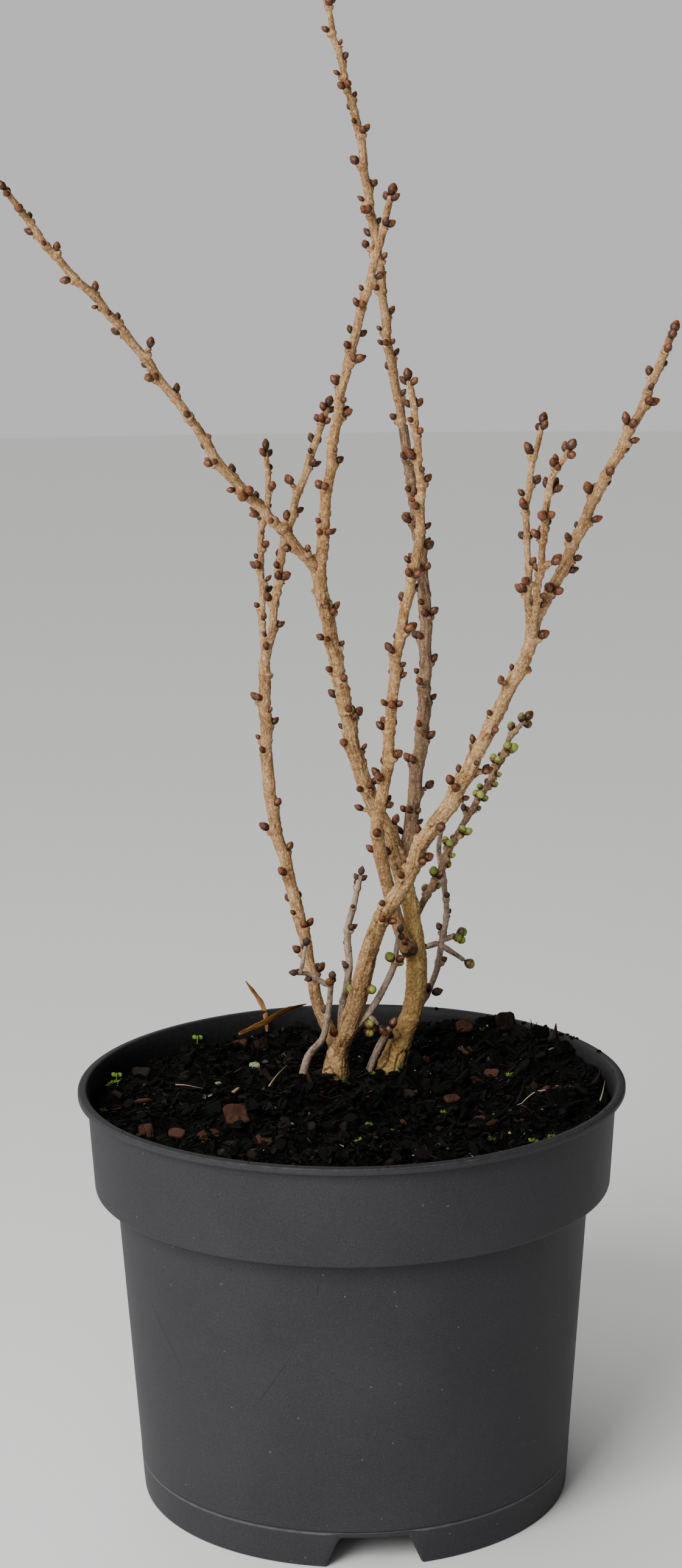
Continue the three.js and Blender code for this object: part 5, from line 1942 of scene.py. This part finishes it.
        axes = spun(rng.normal(0, 1, (count, 3)), turn * 7) * slim[:, :, None]
        parts.append(copies(self.shard(77, 5), axes, places, {"shade": rng.random(count)}, 1))
        self.lay("litter", parts)

    def build(self) -> None:
        """Makes the bed and all that lies on it."""
        self.build_bed()
        chips = self.strewn(self.chips, 11, 7, (2.0, 3.9, 8.0), (0.4, 0.85))
        splinters = self.strewn(self.splinters, 37, 5, (3.0, 6.0, 14.0), (0.12, 0.3))
        self.lay("bark_chips", [chips, splinters], smooth=False)
        lumps = self.strewn(self.lumps, 61, 0, (5.0, 7.5, 12.0), (0.45, 0.8))
        self.lay("bark_lumps", [lumps, self.shown_bits()], smooth=False)
        crumbs = self.strewn(self.crumbs, 23, 5, (0.7, 1.7, 3.2), (0.4, 0.9))
        self.lay("peat_crumbs", [crumbs], smooth=False)
        self.build_fibres()
        self.build_moss()
        self.build_leaf()
        self.build_litter()


@dataclass
class Studio:
    """The camera, a plain pale floor, pale surroundings and a large soft light at the left front.

    Attributes:
        stand, pitch, roll, lens: The camera's place in metres, its turns, and its focal length.
        key: Power of the large soft light, in watts.
        key_size, key_stand, key_aim: Its width, its place and what it points at, in metres.
        fill, shade: Brightness of the surroundings, and of their darker right-hand side.
        shade_from, shade_full: How far to the right they begin to darken and are darkest.
        haze: How bright they are low down, as a share of their brightness above.
        backdrop: How bright they are seen, which is as bright as the floor's far edge.
    """

    stand: Row = (-0.00245, -1.01077, 0.46583)
    pitch: float = 0.2084
    roll: float = -0.0110
    lens: float = 69.4956
    key: float = 27.0
    key_size: float = 0.9
    key_stand: Row = (-0.75, -1.15, 1.0)
    key_aim: Row = (0.0, 0.0, 0.2)
    fill: float = 0.92
    shade: float = 0.02
    shade_from: float = 0.05
    shade_full: float = 0.3
    haze: float = 0.69
    backdrop: float = 0.635
    floor_finish: Finish = StudioFloor()

    def place_camera(self) -> None:
        """Puts the camera where the photograph was taken from."""
        camera = bpy.data.cameras.new("camera")
        camera.lens = self.lens
        camera.sensor_width = 36
        camera.clip_start = 0.01
        thing = linked("camera", camera)
        turned = Matrix.Rotation(math.pi / 2 - self.pitch, 4, "X") @ Matrix.Rotation(self.roll, 4, "Z")
        thing.matrix_world = Matrix.Translation(self.stand) @ turned
        bpy.context.scene.camera = thing

    def lay_floor(self) -> None:
        """Lays a wide floor: a closed low disc whose top is at the pot's foot."""
        turn = circle(96)[None]
        outline = np.array([(3990.0, -20.0), (4000.0, -10.0), (3990.0, -0.05), (600.0, -0.05)])
        shape = skin(lathe(outline[:, :1], turn, outline[:, 1:]), -20.0, -0.05)
        mesh = bpy.data.meshes.new("floor")
        corners = [face for block in shape.faces for face in block.tolist()]
        mesh.from_pydata((shape.points * MM).tolist(), [], corners)
        mesh.materials.append(self.floor_finish.material)
        floor = linked("floor", mesh)

    def light(self) -> None:
        """Lights the plant: pale surroundings that darken to the right, and the large soft light."""
        world = bpy.data.worlds.new("pale surroundings")
        world.use_nodes = True
        tree = world.node_tree
        heading = add(tree, "TexCoord").outputs["Object"]
        parts = add(tree, "SeparateXYZ", links={0: heading})
        fall = span(self.shade_from, self.shade_full, self.fill, self.shade)
        across = add(tree, "MapRange", fall, {"Value": parts.outputs["X"]})
        low = add(tree, "MapRange", span(0.05, 0.4, self.haze, 1.03), {"Value": parts.outputs["Z"]})
        lit = add(tree, "Math", {"operation": "MULTIPLY"}, {0: across, 1: low})
        # Behind the plant they are one plain pale tone in every view
        seen = add(tree, "LightPath").outputs["Is Camera Ray"]
        strength = add(tree, "Mix", {3: self.backdrop}, {0: seen, 2: lit})
        feed(tree.nodes["Background"], {"Color": linear("#ffffff")}, {"Strength": strength})
        bpy.context.scene.world = world
        lamp = bpy.data.lights.new("key light", "AREA")
        lamp.size = self.key_size
        lamp.energy = self.key
        thing = linked("key light", lamp)
        thing.location = self.key_stand
        way = Vector(self.key_aim) - thing.location
        thing.rotation_euler = way.to_track_quat("-Z", "Y").to_euler()

    def build(self) -> None:
        """Sets up the whole studio."""
        self.place_camera()
        self.lay_floor()
        self.light()


def main() -> None:
    """Builds the studio, the pot, the compost, the wood and its buds, and notes the sizes."""
    logging.basicConfig(level=logging.INFO, format="%(name)s: %(message)s")
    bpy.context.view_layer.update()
    Studio().build()
    pot = NurseryPot()
    pot.build()
    Compost(pot).build()
    buds = Buds(LIMBS)
    Wood(LIMBS).build(buds.spurs)
    buds.build()


if __name__ == "__main__":
    main()
